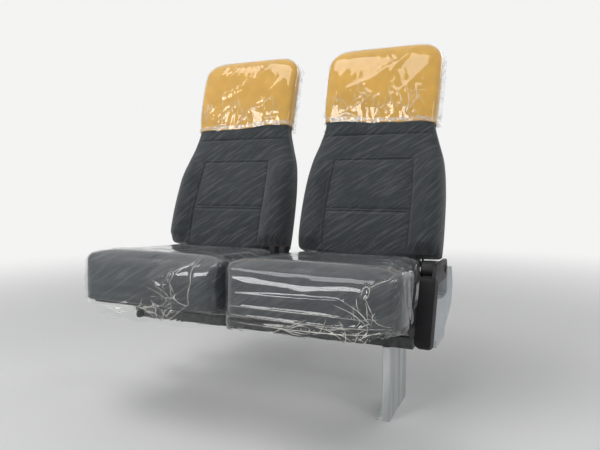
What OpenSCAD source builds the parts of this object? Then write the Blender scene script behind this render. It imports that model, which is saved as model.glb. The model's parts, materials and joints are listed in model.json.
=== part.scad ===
// Coach twin passenger seat: one leg and a wall bracket carry two cross beams, two cushions,
// two reclining backs and a drop-down armrest on the aisle side.
// Origin: middle of the two floor bolts, at floor level. +X points to the aisle, +Y to the
// rear of the vehicle (the seats face -Y) and +Z up. Millimetres.
// A seat is drawn in its own frame: u runs from its middle to its outer side, y and z as above.
// A back is drawn upright in its own frame: u sideways, w rearwards and v up from its pivot.

/* [Seat pair] */
// Distance between the middles of the two seats
seat_pitch = 475; // [465:1:520]
// Gap between the two backs
back_spacing = 43; // [30:1:60]
// Gap between the two cushions
cushion_spacing = 17; // [12:1:30]
// Distance from the floor bolts to the middle of the aisle seat
leg_inset = 90; // [80:1:110]
// Gap between the window seat's back and the side wall
wall_gap = 30; // [20:1:60]

/* [Leg] */
// Height of the leg, from the floor to the beams
leg_h = 205; // [160:1:260]
// Length of the leg along the aisle
leg_len = 205; // [190:1:225]
// Width of the leg's folded front and rear edges
leg_w = 22; // [18:1:32]
// Sheet thickness of the leg
leg_t = 4; // [3:0.5:5]
// Outer radius of the leg's folds
leg_fold_r = 7; // [6:0.5:9]
// How far the foot plate reaches past the leg towards the wall
foot_reach = 15; // [12:1:25]
// Distance between the two floor bolts
floor_bolt_spacing = 140; // [120:1:160]
// Diameter of the floor bolt holes
floor_bolt_d = 11; // [9:0.5:13]

/* [Beams] */
// Height of the beams
beam_h = 35; // [30:1:45]
// Width of the beams along the aisle
beam_w = 40; // [30:1:50]
// Wall thickness of the beams and the saddle
beam_t = 3; // [2:0.5:4]
// Middle of the front beam, ahead of the floor bolts
front_beam_y = 78; // [70:1:90]
// Middle of the rear beam, behind the floor bolts
rear_beam_y = 84; // [75:1:95]
// Outer radius of the beams' edges
beam_r = 5; // [4:0.5:8]
// Width of the saddle between the beams
saddle_w = 44; // [36:1:60]

/* [Wall bracket] */
// Height of the wall bracket's plate
bracket_h = 88; // [80:1:110]
// Length of the wall bracket's plate
bracket_len = 250; // [235:1:280]
// Thickness of the wall bracket's plate
bracket_t = 5; // [4:0.5:8]
// Corner radius of the wall bracket's plate
bracket_r = 12; // [6:1:16]
// Distance between the wall bolts
wall_bolt_spacing = 170; // [150:1:190]
// Height of the wall bolts above the beams
wall_bolt_rise = 28; // [22:1:34]
// Diameter of the wall bolt holes
wall_bolt_d = 11; // [9:0.5:13]

/* [Side plates] */
// Thickness of the side plates
plate_t = 5; // [4:0.5:6]
// How far the side plates stand past the beams
plate_foot = 12; // [8:1:20]
// How far the side plates reach ahead of the front beam
plate_nose = 236; // [200:1:250]
// Height of the pan above the beams
pan_rise = 82; // [70:1:95]
// Recline pivot behind the floor bolts
pivot_y = 42; // [38:1:50]
// Recline pivot above the pan's underside
pivot_rise = 50; // [44:1:58]
// Radius of the recline pins
pivot_pin_r = 8; // [6:0.5:10]
// Radial clearance of every pin in its bore
pin_clearance = 0.05; // [0.02:0.01:0.1]
// How far the recline pins stand out of the side plates
pivot_pin_len = 12; // [10:1:14]
// Radius of the ears round the recline pins
ear_r = 21; // [18:1:22]

/* [Cushions] */
// Sheet thickness of the pan
pan_t = 3; // [2:0.5:4]
// Length of the cushion from its front to its rear edge
cushion_len = 394; // [370:1:420]
// How far the cushion's wide front reaches past the armrest's inner side
cushion_lap = 14; // [5:1:20]
// Room for the lap belt between the cushion and the armrest
belt_room = 21; // [16:1:30]
// Length of the wide front part
cushion_front_len = 134; // [110:1:140]
// Depth of the notch for the buckle in the inner edge
buckle_notch = 29; // [24:1:32]
// Length of the notch for the buckle
buckle_notch_len = 114; // [100:1:130]
// Height of the cushion at its front
cushion_front_h = 127; // [110:1:140]
// Height of the cushion at its rear
cushion_rear_h = 106; // [95:1:115]
// Radius of the cushion's top front edge
cushion_nose_r = 48; // [35:1:55]
// Radius of the cushion's front corners
cushion_corner_r = 42; // [30:1:60]
// Radius of the corner where the wide front ends
shoulder_r = 14; // [8:1:24]
// How far the pan stays inside the cushion's edge
pan_inset = 12; // [6:1:20]
// Gap between soft pieces that meet
soft_gap = 0.5; // [0.3:0.1:1]
// Gap between the cushion and the back at rest
back_gap = 1.7; // [1:0.1:5]

/* [Backs] */
// Rake of the back at rest
back_rake = 17; // [14:0.5:20]
// Length of the back above its pivot
back_len = 715; // [690:1:740]
// Distance from the pivot forward to the plane of the back's front
back_front = 57; // [52:1:60]
// Height above the pivot at which the back's pad begins
pad_start = 28; // [26:1:32]
// Gap between the armrest's boss and the bolster above it
bolster_gap = 9; // [5:1:16]
// How far the bolsters stand proud
bolster_h = 25; // [15:1:30]
// Wall thickness of the rear shell
shell_t = 3; // [2.5:0.5:4]
// Height above the pivot of the headrest cover's hem
cover_start = 492; // [470:1:520]
// Thickness of the headrest cover
cover_t = 2; // [1.5:0.5:3]
// Thickness of the clear film
film_t = 1.2; // [0.8:0.1:2]
// Gap between the headrest cover and the film over it
film_gap = 1; // [0.8:0.1:2]
// Height above the pivot of the headrest film's hem
film_start = 480; // [460:1:490]
// How far the film hangs below the front of the cushion
film_drop = 34; // [20:1:60]
// How far the film's hem rises towards its outer corner
film_rise = 45; // [20:1:60]

/* [Armrest] */
// Armrest pivot behind the recline pivot
arm_back = 3; // [0:1:8]
// Armrest pivot above the recline pivot
arm_rise = 33; // [30:1:38]
// Angle between the hanging armrest and the raised one
arm_swing = 68; // [60:1:80]
// Radius of the armrest pin
arm_pin_r = 8; // [6:0.5:9]
// Radius of the boss that carries the armrest pin
arm_boss_r = 16; // [13:1:17]
// Radius of the armrest's hub
arm_hub_r = 27; // [24:1:30]
// Thickness of the armrest's arm
arm_t = 8; // [6:0.5:10]
// Height of the raised pad's top above its pivot
arm_top = 157; // [150:1:170]
// Thickness of the pad
arm_pad_t = 48; // [40:1:52]
// Width of the pad
arm_pad_w = 40; // [36:1:50]
// Thickness of the pad's skin outside the arm
arm_skin = 2; // [1:0.5:4]
// Distance from the pivot to the near end of the pad
arm_pad_start = 56; // [52:1:64]
// Distance from the pivot to the far end of the pad
arm_pad_end = 240; // [225:1:250]
// Radius of the pad's ends
arm_pad_r = 20; // [12:1:22]
// Gap between the arm and the side of the back
arm_gap = 3; // [2:0.5:6]
// Thickness of the washer that keeps the arm on its pin
washer_t = 3; // [2:0.5:4]

/* [Side cover] */
// Gap between the cover's outer face and the plane of the arm
cover_gap = 5; // [3:0.5:10]
// Depth of the cover's rim
cover_depth = 26; // [20:1:32]
// Wall thickness of the cover
cover_wall = 3; // [2.5:0.5:4]
// Length of the cover
cover_len = 385; // [360:1:410]
// Height of the cover
cover_h = 201; // [190:1:206]
// How far the cover reaches ahead of the armrest's pivot
cover_ahead = 149; // [140:1:154]
// How far the cover hangs below the top of the beams
cover_drop = 50; // [40:1:60]
// Width of the two slots in the floor of its notch
slot_w = 7; // [4:1:10]
// Distance between the two slots
slot_spacing = 34; // [24:1:44]
// Radius of the studs that hold the cover
stud_r = 7; // [5:0.5:9]

/* [Belts] */
// Width of the belt webbing
belt_w = 48; // [44:1:52]
// Thickness of the belt webbing
belt_t = 2; // [1.5:0.5:3]
// Height of the webbing's end above the cushion's underside
belt_rise = 32; // [20:1:50]
// Radius of the belt anchors
anchor_r = 9; // [7:0.5:11]
// Height of the buckle's foot above the cushion's underside
buckle_rise = 70; // [60:1:80]
// Height of the buckle
buckle_h = 62; // [55:1:70]
// Width of the buckle along the aisle
buckle_w = 36; // [32:1:44]
// Thickness of the buckle
buckle_t = 20; // [16:1:24]

/* [Hidden] */
$fn = 48;

steel_black = "#232527";
steel_silver = "#b9bcbe";
plastic_black = "#1b1c1e";
plastic_grey = "#c3c6c6";
fabric_dark = "#33373d";
fabric_gold = "#d8a224";
clear = "#dfe8ea";
webbing_black = "#17181a";
button_red = "#b3201c";
chrome = "#d5d7d9";

back_half = (seat_pitch - back_spacing) / 2;
cushion_in = (seat_pitch - cushion_spacing) / 2;
aisle_x = -leg_inset;
window_x = aisle_x - seat_pitch;
wall_x = window_x - back_half - wall_gap;
leg_x = foot_reach / 2;
plate_z = leg_h + beam_h;
pan_z = plate_z + pan_rise;
cushion_z = pan_z + pan_t + soft_gap;
pivot_z = pan_z + pivot_rise;
arm_y = pivot_y + arm_back;
arm_z = pivot_z + arm_rise;
bolster_start = arm_rise + arm_boss_r + bolster_gap;

// Across the seat, from the back outwards: the arm, the pad's two sides, then inwards the belt's
// room and the cushion with the side plates flush with its narrow part.
arm_u = back_half + arm_gap;
arm_pad_out = arm_u + arm_t + arm_skin;
arm_pad_in = arm_pad_out - arm_pad_w;
cushion_out = arm_pad_in + cushion_lap;
cushion_rear_out = arm_pad_in - belt_room;
plate_out = cushion_rear_out;
plate_u = plate_out - plate_t;
cover_u = arm_u - cover_gap;

// Front face of the pad at its lowest point decides where the cushion ends.
pad_foot_y = pivot_y - back_front * cos(back_rake) + pad_start * sin(back_rake);
cushion_rear_y = pad_foot_y - back_gap;
cushion_front_y = cushion_rear_y - cushion_len;
shoulder_y = cushion_front_y + cushion_front_len;

// Sections of a back, bottom to top, in the back's own frame. The columns are: share of the back's
// length, half width as a share of the widest, front and rear depth against the front plane.
back_stations = [
    [0.03, 0.968, 0, 80],
    [0.10, 0.995, -8, 85],
    [0.22, 1.000, -10, 86],
    [0.36, 0.986, -2, 82],
    [0.48, 0.940, 5, 76],
    [0.57, 0.852, 8, 71],
    [0.64, 0.792, 4, 67],
    [0.72, 0.806, -4, 63],
    [0.85, 0.815, -6, 59],
    [1.00, 0.810, 2, 54]
];
bolster_end = 0.57;
crown_r = 55;
last_station = len(back_stations) - 1;

// Heights at which every skin of a back has a ring, so that nested skins never cross.
back_rows = concat(
    [for (k = [0 : 2]) bolster_start + k * 18],
    [for (s = [0.19, 0.25, 0.31, 0.37, 0.43, 0.48, 0.53, 0.57, 0.605, 0.64]) s * back_len],
    [cover_start],
    [for (s = [0.74, 0.8, 0.86]) s * back_len]
);

function station_of(s, i = 0) =
    (i >= last_station - 1 || s < back_stations[i + 1][0]) ? i : station_of(s, i + 1);
function station_slope(i, c) =
    let (a = max(i - 1, 0), b = min(i + 1, last_station))
    (back_stations[b][c] - back_stations[a][c]) / (back_stations[b][0] - back_stations[a][0]);
function station_value(s, c) =
    let (
        i = station_of(s),
        h = back_stations[i + 1][0] - back_stations[i][0],
        t = (s - back_stations[i][0]) / h
    )
    (2 * pow(t, 3) - 3 * pow(t, 2) + 1) * back_stations[i][c]
    + (pow(t, 3) - 2 * pow(t, 2) + t) * h * station_slope(i, c)
    + (3 * pow(t, 2) - 2 * pow(t, 3)) * back_stations[i + 1][c]
    + (pow(t, 3) - pow(t, 2)) * h * station_slope(i + 1, c);
function smooth(t) = let (k = min(max(t, 0), 1)) k * k * (3 - 2 * k);

// Crown: how much the section draws in near the top, as a quarter circle.
function crown(v, top, r) = v > top - r ? r - sqrt(max(r * r - pow(v - top + r, 2), 0)) : 0;
function bolster(s, k, start) =
    smooth((s - start) / 0.05) * smooth((bolster_end - s) / 0.2)
    * smooth((k - 0.55) / 0.25) * smooth((1.02 - k) / 0.12);

// One closed ring of a back's skin at height v, grown outwards by g. wings is 1 for the pad.
function back_ring(v, g, wings) =
    let (
        top = back_len + g,
        s = min(v / back_len, 1),
        pull = crown(v, top, crown_r + g),
        half = station_value(s, 1) * back_half + g - pull * 1.1,
        front = station_value(s, 2) - back_front - g + pull * 0.42,
        rear = station_value(s, 3) - back_front + g - pull * 0.42,
        mid = (front + rear) / 2,
        thick = (rear - front) / 2
    )
    concat(
        [for (a = [-90 : 11.25 : 90])
            let (k = abs(sin(a)), lobe = thick * pow(1 - pow(k, 5), 0.2))
            [half * sin(a), mid - lobe - wings * bolster_h * bolster(s, k, bolster_start / back_len), v]],
        [for (a = [75 : -15 : -75])
            let (k = abs(sin(a)), lobe = thick * pow(1 - pow(k, 5), 0.2))
            [half * sin(a), mid + lobe, v]]
    );

// Closed skin through a list of rings, each a list of points at one height.
module skin(rings) {
    n = len(rings[0]);
    m = len(rings);
    polyhedron(
        points = [for (ring = rings) for (p = ring) p],
        faces = concat(
            [[for (k = [0 : n - 1]) k]],
            [[for (k = [n - 1 : -1 : 0]) (m - 1) * n + k]],
            [for (j = [0 : m - 2]) for (k = [0 : n - 1])
                [j * n + k, (j + 1) * n + k, (j + 1) * n + (k + 1) % n, j * n + (k + 1) % n]]
        )
    );
}

function back_levels(start, g) =
    concat(
        [start],
        [for (v = back_rows) if (v > start + 4) v],
        [for (a = [0, 22.5, 45, 65, 82]) back_len - crown_r + (crown_r + g) * sin(a)]
    );

module back_form(start, g, wings) {
    skin([for (v = back_levels(start, g)) back_ring(v, g, wings)]);
}

// Places a child drawn in a seat's own frame.
module at_seat(side) {
    if (side == "aisle") translate([aisle_x, 0, 0]) children();
    else translate([window_x, 0, 0]) mirror([1, 0, 0]) children();
}

// Places a child drawn in a back's own frame.
module at_back(side) {
    at_seat(side) translate([0, pivot_y, pivot_z]) rotate([-back_rake, 0, 0]) children();
}

// Places a child drawn as the raised armrest, with its pivot as origin.
module at_armrest() {
    translate([aisle_x, arm_y, arm_z]) rotate([arm_swing, 0, 0]) children();
}

// Turns a flat shape drawn in (y, z) into a plate from u0 to u1.
module plate(u0, u1) {
    translate([u0, 0, 0]) rotate([90, 0, 90]) linear_extrude(u1 - u0) children();
}

// Round bar along the seat's width.
module bar(u0, u1, r) {
    translate([u0, 0, 0]) rotate([0, 90, 0]) cylinder(r = r, h = u1 - u0);
}

// Rectangle with round corners, about its middle.
module rounded(w, h, r) {
    square([w - 2 * r, h], center = true);
    square([w, h - 2 * r], center = true);
    for (sx = [-1, 1], sy = [-1, 1])
        translate([sx * (w / 2 - r), sy * (h / 2 - r)]) circle(r);
}

function unit(v) = v / norm(v);

// The corner b between a and c, rounded with radius r.
function corner(a, b, c, r, steps = 5) =
    let (
        u = unit(a - b),
        v = unit(c - b),
        half = acos(u * v) / 2,
        o = b + unit(u + v) * r / sin(half),
        p = b + u * r / tan(half) - o,
        q = b + v * r / tan(half) - o
    )
    [for (k = [0 : steps]) o + r * unit(p * (steps - k) + q * k)];

// A closed outline of [x, y, radius] with its corners rounded.
function soften(outline) =
    let (n = len(outline), at = [for (p = outline) [p[0], p[1]]])
    [for (i = [0 : n - 1])
        for (p = corner(at[(i + n - 1) % n], at[i], at[(i + 1) % n], outline[i][2])) p];

// A counter-clockwise outline drawn in by e.
function inset(points, e) =
    let (n = len(points))
    [for (i = [0 : n - 1])
        let (
            d = unit(points[i] - points[(i + n - 1) % n]),
            f = unit(points[(i + 1) % n] - points[i]),
            a = [-d[1], d[0]],
            b = [-f[1], f[0]]
        )
        points[i] + e * (a + b) / (1 + a * b)];

// Points of an arc.
function arc(c, r, from, to, steps = 6) =
    [for (k = [0 : steps]) let (a = from + (to - from) * k / steps) [c[0] + r * cos(a), c[1] + r * sin(a)]];

// Pressed channel, open towards the wall, on a foot plate that is centred on the floor bolts.
module leg() {
    color(steel_silver) {
        translate([leg_x, 0, 0]) {
            linear_extrude(leg_h) difference() {
                rounded(leg_w, leg_len, leg_fold_r);
                translate([-leg_t - leg_w / 2, 0])
                    rounded(leg_w * 2, leg_len - 2 * leg_t, leg_fold_r - leg_t);
            }
            translate([0, 0, leg_h - leg_t]) linear_extrude(leg_t) rounded(leg_w, leg_len, leg_fold_r);
        }
        linear_extrude(leg_t) difference() {
            rounded(leg_w + foot_reach, leg_len, leg_fold_r);
            for (sy = [-1, 1])
                translate([0, sy * floor_bolt_spacing / 2]) circle(d = floor_bolt_d);
        }
    }
}

// Short tube along the aisle that joins the two beams on top of the leg.
module saddle() {
    y0 = -front_beam_y + beam_w / 2;
    y1 = rear_beam_y - beam_w / 2;
    color(steel_black) translate([leg_x, y1, leg_h + beam_h / 2]) rotate([90, 0, 0])
        linear_extrude(y1 - y0) difference() {
            square([saddle_w, beam_h], center = true);
            square([saddle_w - 2 * beam_t, beam_h - 2 * beam_t], center = true);
        }
}

// Tube from the wall bracket to the outer side plate of the aisle seat, closed at that end.
module beam(y) {
    end_x = aisle_x + plate_out;
    color(steel_black) translate([0, y, leg_h + beam_h / 2]) {
        plate(wall_x + bracket_t, end_x) difference() {
            rounded(beam_w, beam_h, beam_r);
            rounded(beam_w - 2 * beam_t, beam_h - 2 * beam_t, beam_r - beam_t);
        }
        plate(end_x - beam_t, end_x) rounded(beam_w, beam_h, beam_r);
    }
}
module front_beam() { beam(-front_beam_y); }
module rear_beam() { beam(rear_beam_y); }

module wall_bracket() {
    color(steel_black) translate([0, (rear_beam_y - front_beam_y) / 2, leg_h]) difference() {
        translate([0, 0, bracket_h / 2]) plate(wall_x, wall_x + bracket_t)
            rounded(bracket_len, bracket_h, bracket_r);
        for (sy = [-1, 1])
            translate([0, sy * wall_bolt_spacing / 2, beam_h + wall_bolt_rise])
                bar(wall_x - 1, wall_x + bracket_t + 1, wall_bolt_d / 2);
    }
}

// Side plate of a seat: it stands on the beams, reaches forward under the pan and ends in the
// ear with the recline pin. sign is 1 for the outer plate. armrest adds the armrest's lug.
module side_plate(sign, armrest) {
    foot_front = -front_beam_y - beam_w / 2 - plate_foot;
    foot_rear = rear_beam_y + beam_w / 2 + plate_foot;
    nose_y = -front_beam_y - plate_nose;
    heel = 0.22 * pan_rise;
    u0 = sign > 0 ? plate_u : -plate_out;
    pin_u = sign > 0 ? plate_u - pivot_pin_len : -plate_u - 1;
    color(steel_black) {
        plate(u0, u0 + plate_t) {
            polygon([
                [foot_front, plate_z], [foot_rear, plate_z], [foot_rear, plate_z + heel],
                [pivot_y + ear_r, pivot_z], [pivot_y - ear_r, pivot_z],
                [cushion_rear_y + soft_gap, pan_z], [nose_y, pan_z], [nose_y, pan_z - heel],
                [foot_front - 2 * heel, plate_z + 1.5 * heel]
            ]);
            translate([pivot_y, pivot_z]) circle(ear_r);
            if (armrest) {
                translate([arm_y, arm_z]) circle(arm_boss_r);
                polygon([
                    [arm_y - arm_boss_r, arm_z], [pivot_y - ear_r, pivot_z],
                    [pivot_y + ear_r, pivot_z], [arm_y + arm_boss_r, arm_z]
                ]);
            }
        }
        translate([0, pivot_y, pivot_z]) bar(pin_u, pin_u + pivot_pin_len + 1, pivot_pin_r);
    }
}
module side_plate_aisle_outer() { at_seat("aisle") side_plate(1, true); }
module side_plate_aisle_inner() { at_seat("aisle") side_plate(-1, false); }
module side_plate_window_inner() { at_seat("window") side_plate(-1, false); }
module side_plate_window_outer() { at_seat("window") side_plate(1, false); }

// Boss and pin of the armrest, with the washer that keeps the arm on the pin.
module armrest_pivot() {
    end_u = arm_u + arm_t + washer_t;
    color(steel_black) at_seat("aisle") translate([0, arm_y, arm_z]) {
        bar(plate_out, arm_u - 1, arm_boss_r);
        bar(plate_out, end_u, arm_pin_r);
        bar(end_u - 0.9 * washer_t, end_u, arm_pin_r + washer_t);
    }
}

// Plan of the cushion, grown outwards by g.
function cushion_plan(g) =
    let (r = cushion_corner_r, inner = -cushion_in, notch = -cushion_in + buckle_notch)
    concat(
        arc([inner + r, cushion_front_y + r], r + g, 180, 270),
        arc([cushion_out - r, cushion_front_y + r], r + g, 270, 360),
        arc([cushion_out - shoulder_r, shoulder_y - shoulder_r], shoulder_r + g, 0, 90, 4),
        [
            [cushion_rear_out + g, shoulder_y + g],
            [cushion_rear_out + g, cushion_rear_y + g],
            [notch - g, cushion_rear_y + g],
            [notch - g, cushion_rear_y - buckle_notch_len + g],
            [inner - g, cushion_rear_y - buckle_notch_len + g]
        ]
    );

// Side view of the cushion in (y, z), grown outwards by g and lengthened down to z = low.
function cushion_side(g, low) =
    let (
        front_z = cushion_z + cushion_front_h,
        rear_z = cushion_z + cushion_rear_h,
        r = cushion_nose_r
    )
    concat(
        [[cushion_rear_y + g, low], [cushion_rear_y + g, rear_z + g]],
        arc([cushion_front_y + r, front_z - r], r + g, 90, 180, 8),
        [[cushion_front_y - g, low]]
    );

module cushion_form(g, low) {
    intersection() {
        translate([0, 0, low]) linear_extrude(2 * cushion_front_h) polygon(cushion_plan(g));
        plate(-seat_pitch, seat_pitch) polygon(cushion_side(g, low));
    }
}

module seat_pan() {
    pan_len = cushion_len - 2 * pan_inset;
    color(steel_black) translate([0, cushion_rear_y - cushion_len / 2, pan_z])
        linear_extrude(pan_t) rounded(2 * plate_out, pan_len, pan_inset);
}
module seat_pan_aisle() { at_seat("aisle") seat_pan(); }
module seat_pan_window() { at_seat("window") seat_pan(); }

module cushion() { color(fabric_dark) cushion_form(0, cushion_z); }
module cushion_aisle() { at_seat("aisle") cushion(); }
module cushion_window() { at_seat("window") cushion(); }

// Clear film over the cushion, open below and at the rear.
module cushion_film() {
    color(clear) difference() {
        cushion_form(soft_gap + film_t, cushion_z);
        cushion_form(soft_gap, cushion_z - 1);
        plate(-seat_pitch, seat_pitch) translate([cushion_rear_y - film_t, 0])
            square([seat_pitch, 2 * cushion_z]);
    }
}
module cushion_film_aisle() { at_seat("aisle") cushion_film(); }
module cushion_film_window() { at_seat("window") cushion_film(); }

// The film's skirt, hanging below the front of the cushion. Its hem rises to the outer corner.
module film_skirt() {
    u0 = -cushion_in + cushion_corner_r;
    u1 = cushion_out - cushion_corner_r;
    color(clear) translate([0, cushion_front_y - soft_gap, 0]) rotate([90, 0, 0])
        linear_extrude(film_t) polygon([
            [u0, cushion_z - film_drop], [u1 - film_rise, cushion_z - film_drop],
            [u1, cushion_z - pan_t], [u1, cushion_z], [u0, cushion_z]
        ]);
}
module film_skirt_aisle() { at_seat("aisle") film_skirt(); }
module film_skirt_window() { at_seat("window") film_skirt(); }

// Outline of the side cover in (y, z). The columns are: share of the length, share of the height
// and corner radius as a share of the height. Its front edge follows the hanging armrest.
cover_shape = [
    [0.000, 0.179, 0.03], [0.239, 0.119, 0.03], [0.247, 0.000, 0.02], [0.600, 0.000, 0.03],
    [0.621, 0.119, 0.02], [0.787, 0.229, 0.20], [0.951, 0.388, 0.15], [1.000, 0.687, 0.20],
    [0.919, 0.955, 0.10], [0.691, 1.000, 0.04], [0.701, 0.612, 0.07], [0.530, 0.597, 1.00],
    [0.164, 0.687, 0.03]
];
cover_y = arm_y - cover_ahead;
cover_z = plate_z - cover_drop;
cover_outline = soften([
    for (p = cover_shape) [cover_y + p[0] * cover_len, cover_z + p[1] * cover_h, p[2] * cover_h]
]);

module side_cover() {
    rim_u = cover_u - cover_depth;
    slot_y = cover_y + 0.6 * cover_len;
    stud_z = plate_z + 0.25 * pan_rise;
    color(plastic_grey) at_seat("aisle") {
        difference() {
            plate(rim_u, cover_u) polygon(cover_outline);
            plate(rim_u - 1, cover_u - cover_wall) polygon(inset(cover_outline, cover_wall));
            for (k = [0, 1])
                translate([rim_u - 1, slot_y - k * slot_spacing, cover_z + cover_h / 2])
                    cube([cover_depth - cover_wall, slot_w, 0.3 * cover_h]);
        }
        for (y = [-front_beam_y + beam_w / 2, rear_beam_y + beam_w / 2])
            translate([0, y, stud_z]) bar(plate_out, cover_u - cover_wall / 2, stud_r);
    }
}

// Slim lever that frees the recline lock, on a pin in the outer side plate.
lever_y = pivot_y - 52;
lever_z = plate_z + 36;
lever_pin_r = 5;
lever_t = 6;
lever_len = 70;
module recline_lever() {
    u0 = plate_out + lever_t;
    color(plastic_black) {
        plate(u0, u0 + lever_t) translate([lever_y, lever_z]) {
            circle(lever_pin_r + 3);
            translate([-lever_len, -lever_pin_r]) square([lever_len, 2 * lever_pin_r]);
            translate([-lever_len, 0]) circle(lever_pin_r + 4);
        }
        translate([0, lever_y, lever_z]) bar(plate_out, u0 + 1, lever_pin_r);
    }
}
module recline_lever_aisle() { at_seat("aisle") recline_lever(); }
module recline_lever_window() { at_seat("window") recline_lever(); }

// Lap belt buckle on a sleeved stalk, in the notch of the cushion's inner edge.
buckle_y = cushion_rear_y - buckle_notch_len / 2;
buckle_u = -cushion_in + buckle_notch / 4;
buckle_z = cushion_z + buckle_rise;
anchor_z = plate_z + 4 * anchor_r;
button_h = 10;
module buckle() {
    foot_z = anchor_z - anchor_r / 2;
    color(plastic_black) {
        translate([buckle_u, buckle_y, foot_z]) linear_extrude(buckle_z - foot_z)
            rounded(3 * belt_t, belt_w / 2, 1.2 * belt_t);
        translate([buckle_u, buckle_y, buckle_z]) difference() {
            linear_extrude(buckle_h) rounded(buckle_t, buckle_w, 0.3 * buckle_t);
            translate([0, 0, buckle_h - 1.2 * button_h]) linear_extrude(buckle_h)
                rounded(0.55 * buckle_t, 0.78 * buckle_w, belt_t);
        }
        translate([0, buckle_y, anchor_z]) bar(buckle_u - 3 * belt_t, -plate_out, anchor_r);
    }
}
module buckle_button() {
    color(button_red) translate([buckle_u, buckle_y, buckle_z + buckle_h - 1.2 * button_h])
        linear_extrude(button_h) rounded(0.5 * buckle_t, 0.75 * buckle_w, belt_t);
}
module buckle_aisle() { at_seat("aisle") buckle(); }
module buckle_window() { at_seat("window") buckle(); }
module buckle_button_aisle() { at_seat("aisle") buckle_button(); }
module buckle_button_window() { at_seat("window") buckle_button(); }

// Outer half of the lap belt: webbing from the side plate up to the tongue beside the cushion.
belt_y = cushion_rear_y - 0.55 * belt_w;
belt_u = plate_out + soft_gap + film_t + belt_t;
belt_z = cushion_z + belt_rise;
module lap_belt() {
    foot_z = pan_z - 3 * anchor_r;
    color(webbing_black) {
        translate([belt_u, belt_y - belt_w / 2, foot_z]) cube([belt_t, belt_w, belt_z - foot_z]);
        translate([0, belt_y, pan_z - 2 * anchor_r]) bar(plate_out, belt_u, anchor_r - 1);
    }
}
module belt_tongue() {
    plate_h = belt_w / 2;
    color(chrome) translate([belt_u + belt_t / 2, belt_y, belt_z]) {
        linear_extrude(plate_h) rounded(2.5 * belt_t, belt_w + 4 * belt_t, belt_t);
        translate([0, 0, plate_h - 1]) linear_extrude(plate_h) rounded(belt_t, belt_w / 2, 0.45 * belt_t);
    }
}
module lap_belt_aisle() { at_seat("aisle") lap_belt(); }
module lap_belt_window() { at_seat("window") lap_belt(); }
module belt_tongue_aisle() { at_seat("aisle") belt_tongue(); }
module belt_tongue_window() { at_seat("window") belt_tongue(); }

// Two flat steel arms hang each back on its recline pins. They rise into the rear shell.
arm_clear = 2;
back_arm_u = plate_u - arm_clear - plate_t;
module back_arms(side) {
    end_v = 0.42 * back_len;
    eye_r = ear_r - shell_t;
    color(steel_black) at_back(side) for (u0 = [-back_arm_u - plate_t, back_arm_u])
        difference() {
            plate(u0, u0 + plate_t) union() {
                circle(eye_r);
                polygon([
                    [-0.6 * eye_r, 0], [eye_r, 0], [5 * shell_t, bolster_start],
                    [5 * shell_t, end_v], [shell_t, end_v], [shell_t, 0.7 * bolster_start],
                    [-0.6 * eye_r, 0.6 * eye_r]
                ]);
            }
            bar(u0 - 1, u0 + plate_t + 1, pivot_pin_r + pin_clearance);
        }
}

// Rear shell: the rear half of the back's form as a hollow tray, open towards the pad, with a
// slot in its bottom for each arm.
module back_shell(side) {
    hollow_v = 0.62 * back_len;
    slot_w = plate_t + 2 * arm_clear;
    color(plastic_black) at_back(side) difference() {
        back_form(bolster_start, 0, 0);
        translate([-seat_pitch, shell_t - seat_pitch, 0]) cube([2 * seat_pitch, seat_pitch, 2 * back_len]);
        intersection() {
            back_form(bolster_start - 1, -shell_t, 0);
            translate([-seat_pitch, -seat_pitch, bolster_start + shell_t])
                cube([2 * seat_pitch, 2 * seat_pitch, hollow_v - bolster_start]);
        }
        for (sign = [-1, 1])
            translate([sign * (back_arm_u + plate_t / 2) - slot_w / 2, 0, bolster_start - 1])
                cube([slot_w, 5 * shell_t + arm_clear, 2 * shell_t]);
    }
}

module back_pad(side) {
    mid_u = back_arm_u - arm_clear;
    color(fabric_dark) at_back(side) difference() {
        back_form(pad_start, 0, 1);
        translate([-seat_pitch, shell_t - soft_gap, 0]) cube([2 * seat_pitch, seat_pitch, 2 * back_len]);
        for (u0 = [-mid_u - seat_pitch, mid_u])
            translate([u0, -seat_pitch, 0]) cube([seat_pitch, 2 * seat_pitch, bolster_start]);
    }
}

module headrest_cover(side) {
    g0 = soft_gap;
    color(fabric_gold) at_back(side) difference() {
        back_form(cover_start, g0 + cover_t, 0);
        back_form(cover_start - 1, g0, 0);
    }
}

module headrest_film(side) {
    g0 = soft_gap + cover_t + film_gap;
    color(clear) at_back(side) difference() {
        back_form(film_start, g0 + film_t, 0);
        back_form(film_start - 1, g0, 0);
    }
}
module back_arms_aisle() { back_arms("aisle"); }
module back_pad_aisle() { back_pad("aisle"); }
module back_shell_aisle() { back_shell("aisle"); }
module headrest_cover_aisle() { headrest_cover("aisle"); }
module headrest_film_aisle() { headrest_film("aisle"); }
module back_arms_window() { back_arms("window"); }
module back_pad_window() { back_pad("window"); }
module back_shell_window() { back_shell("window"); }
module headrest_cover_window() { headrest_cover("window"); }
module headrest_film_window() { headrest_film("window"); }

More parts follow.
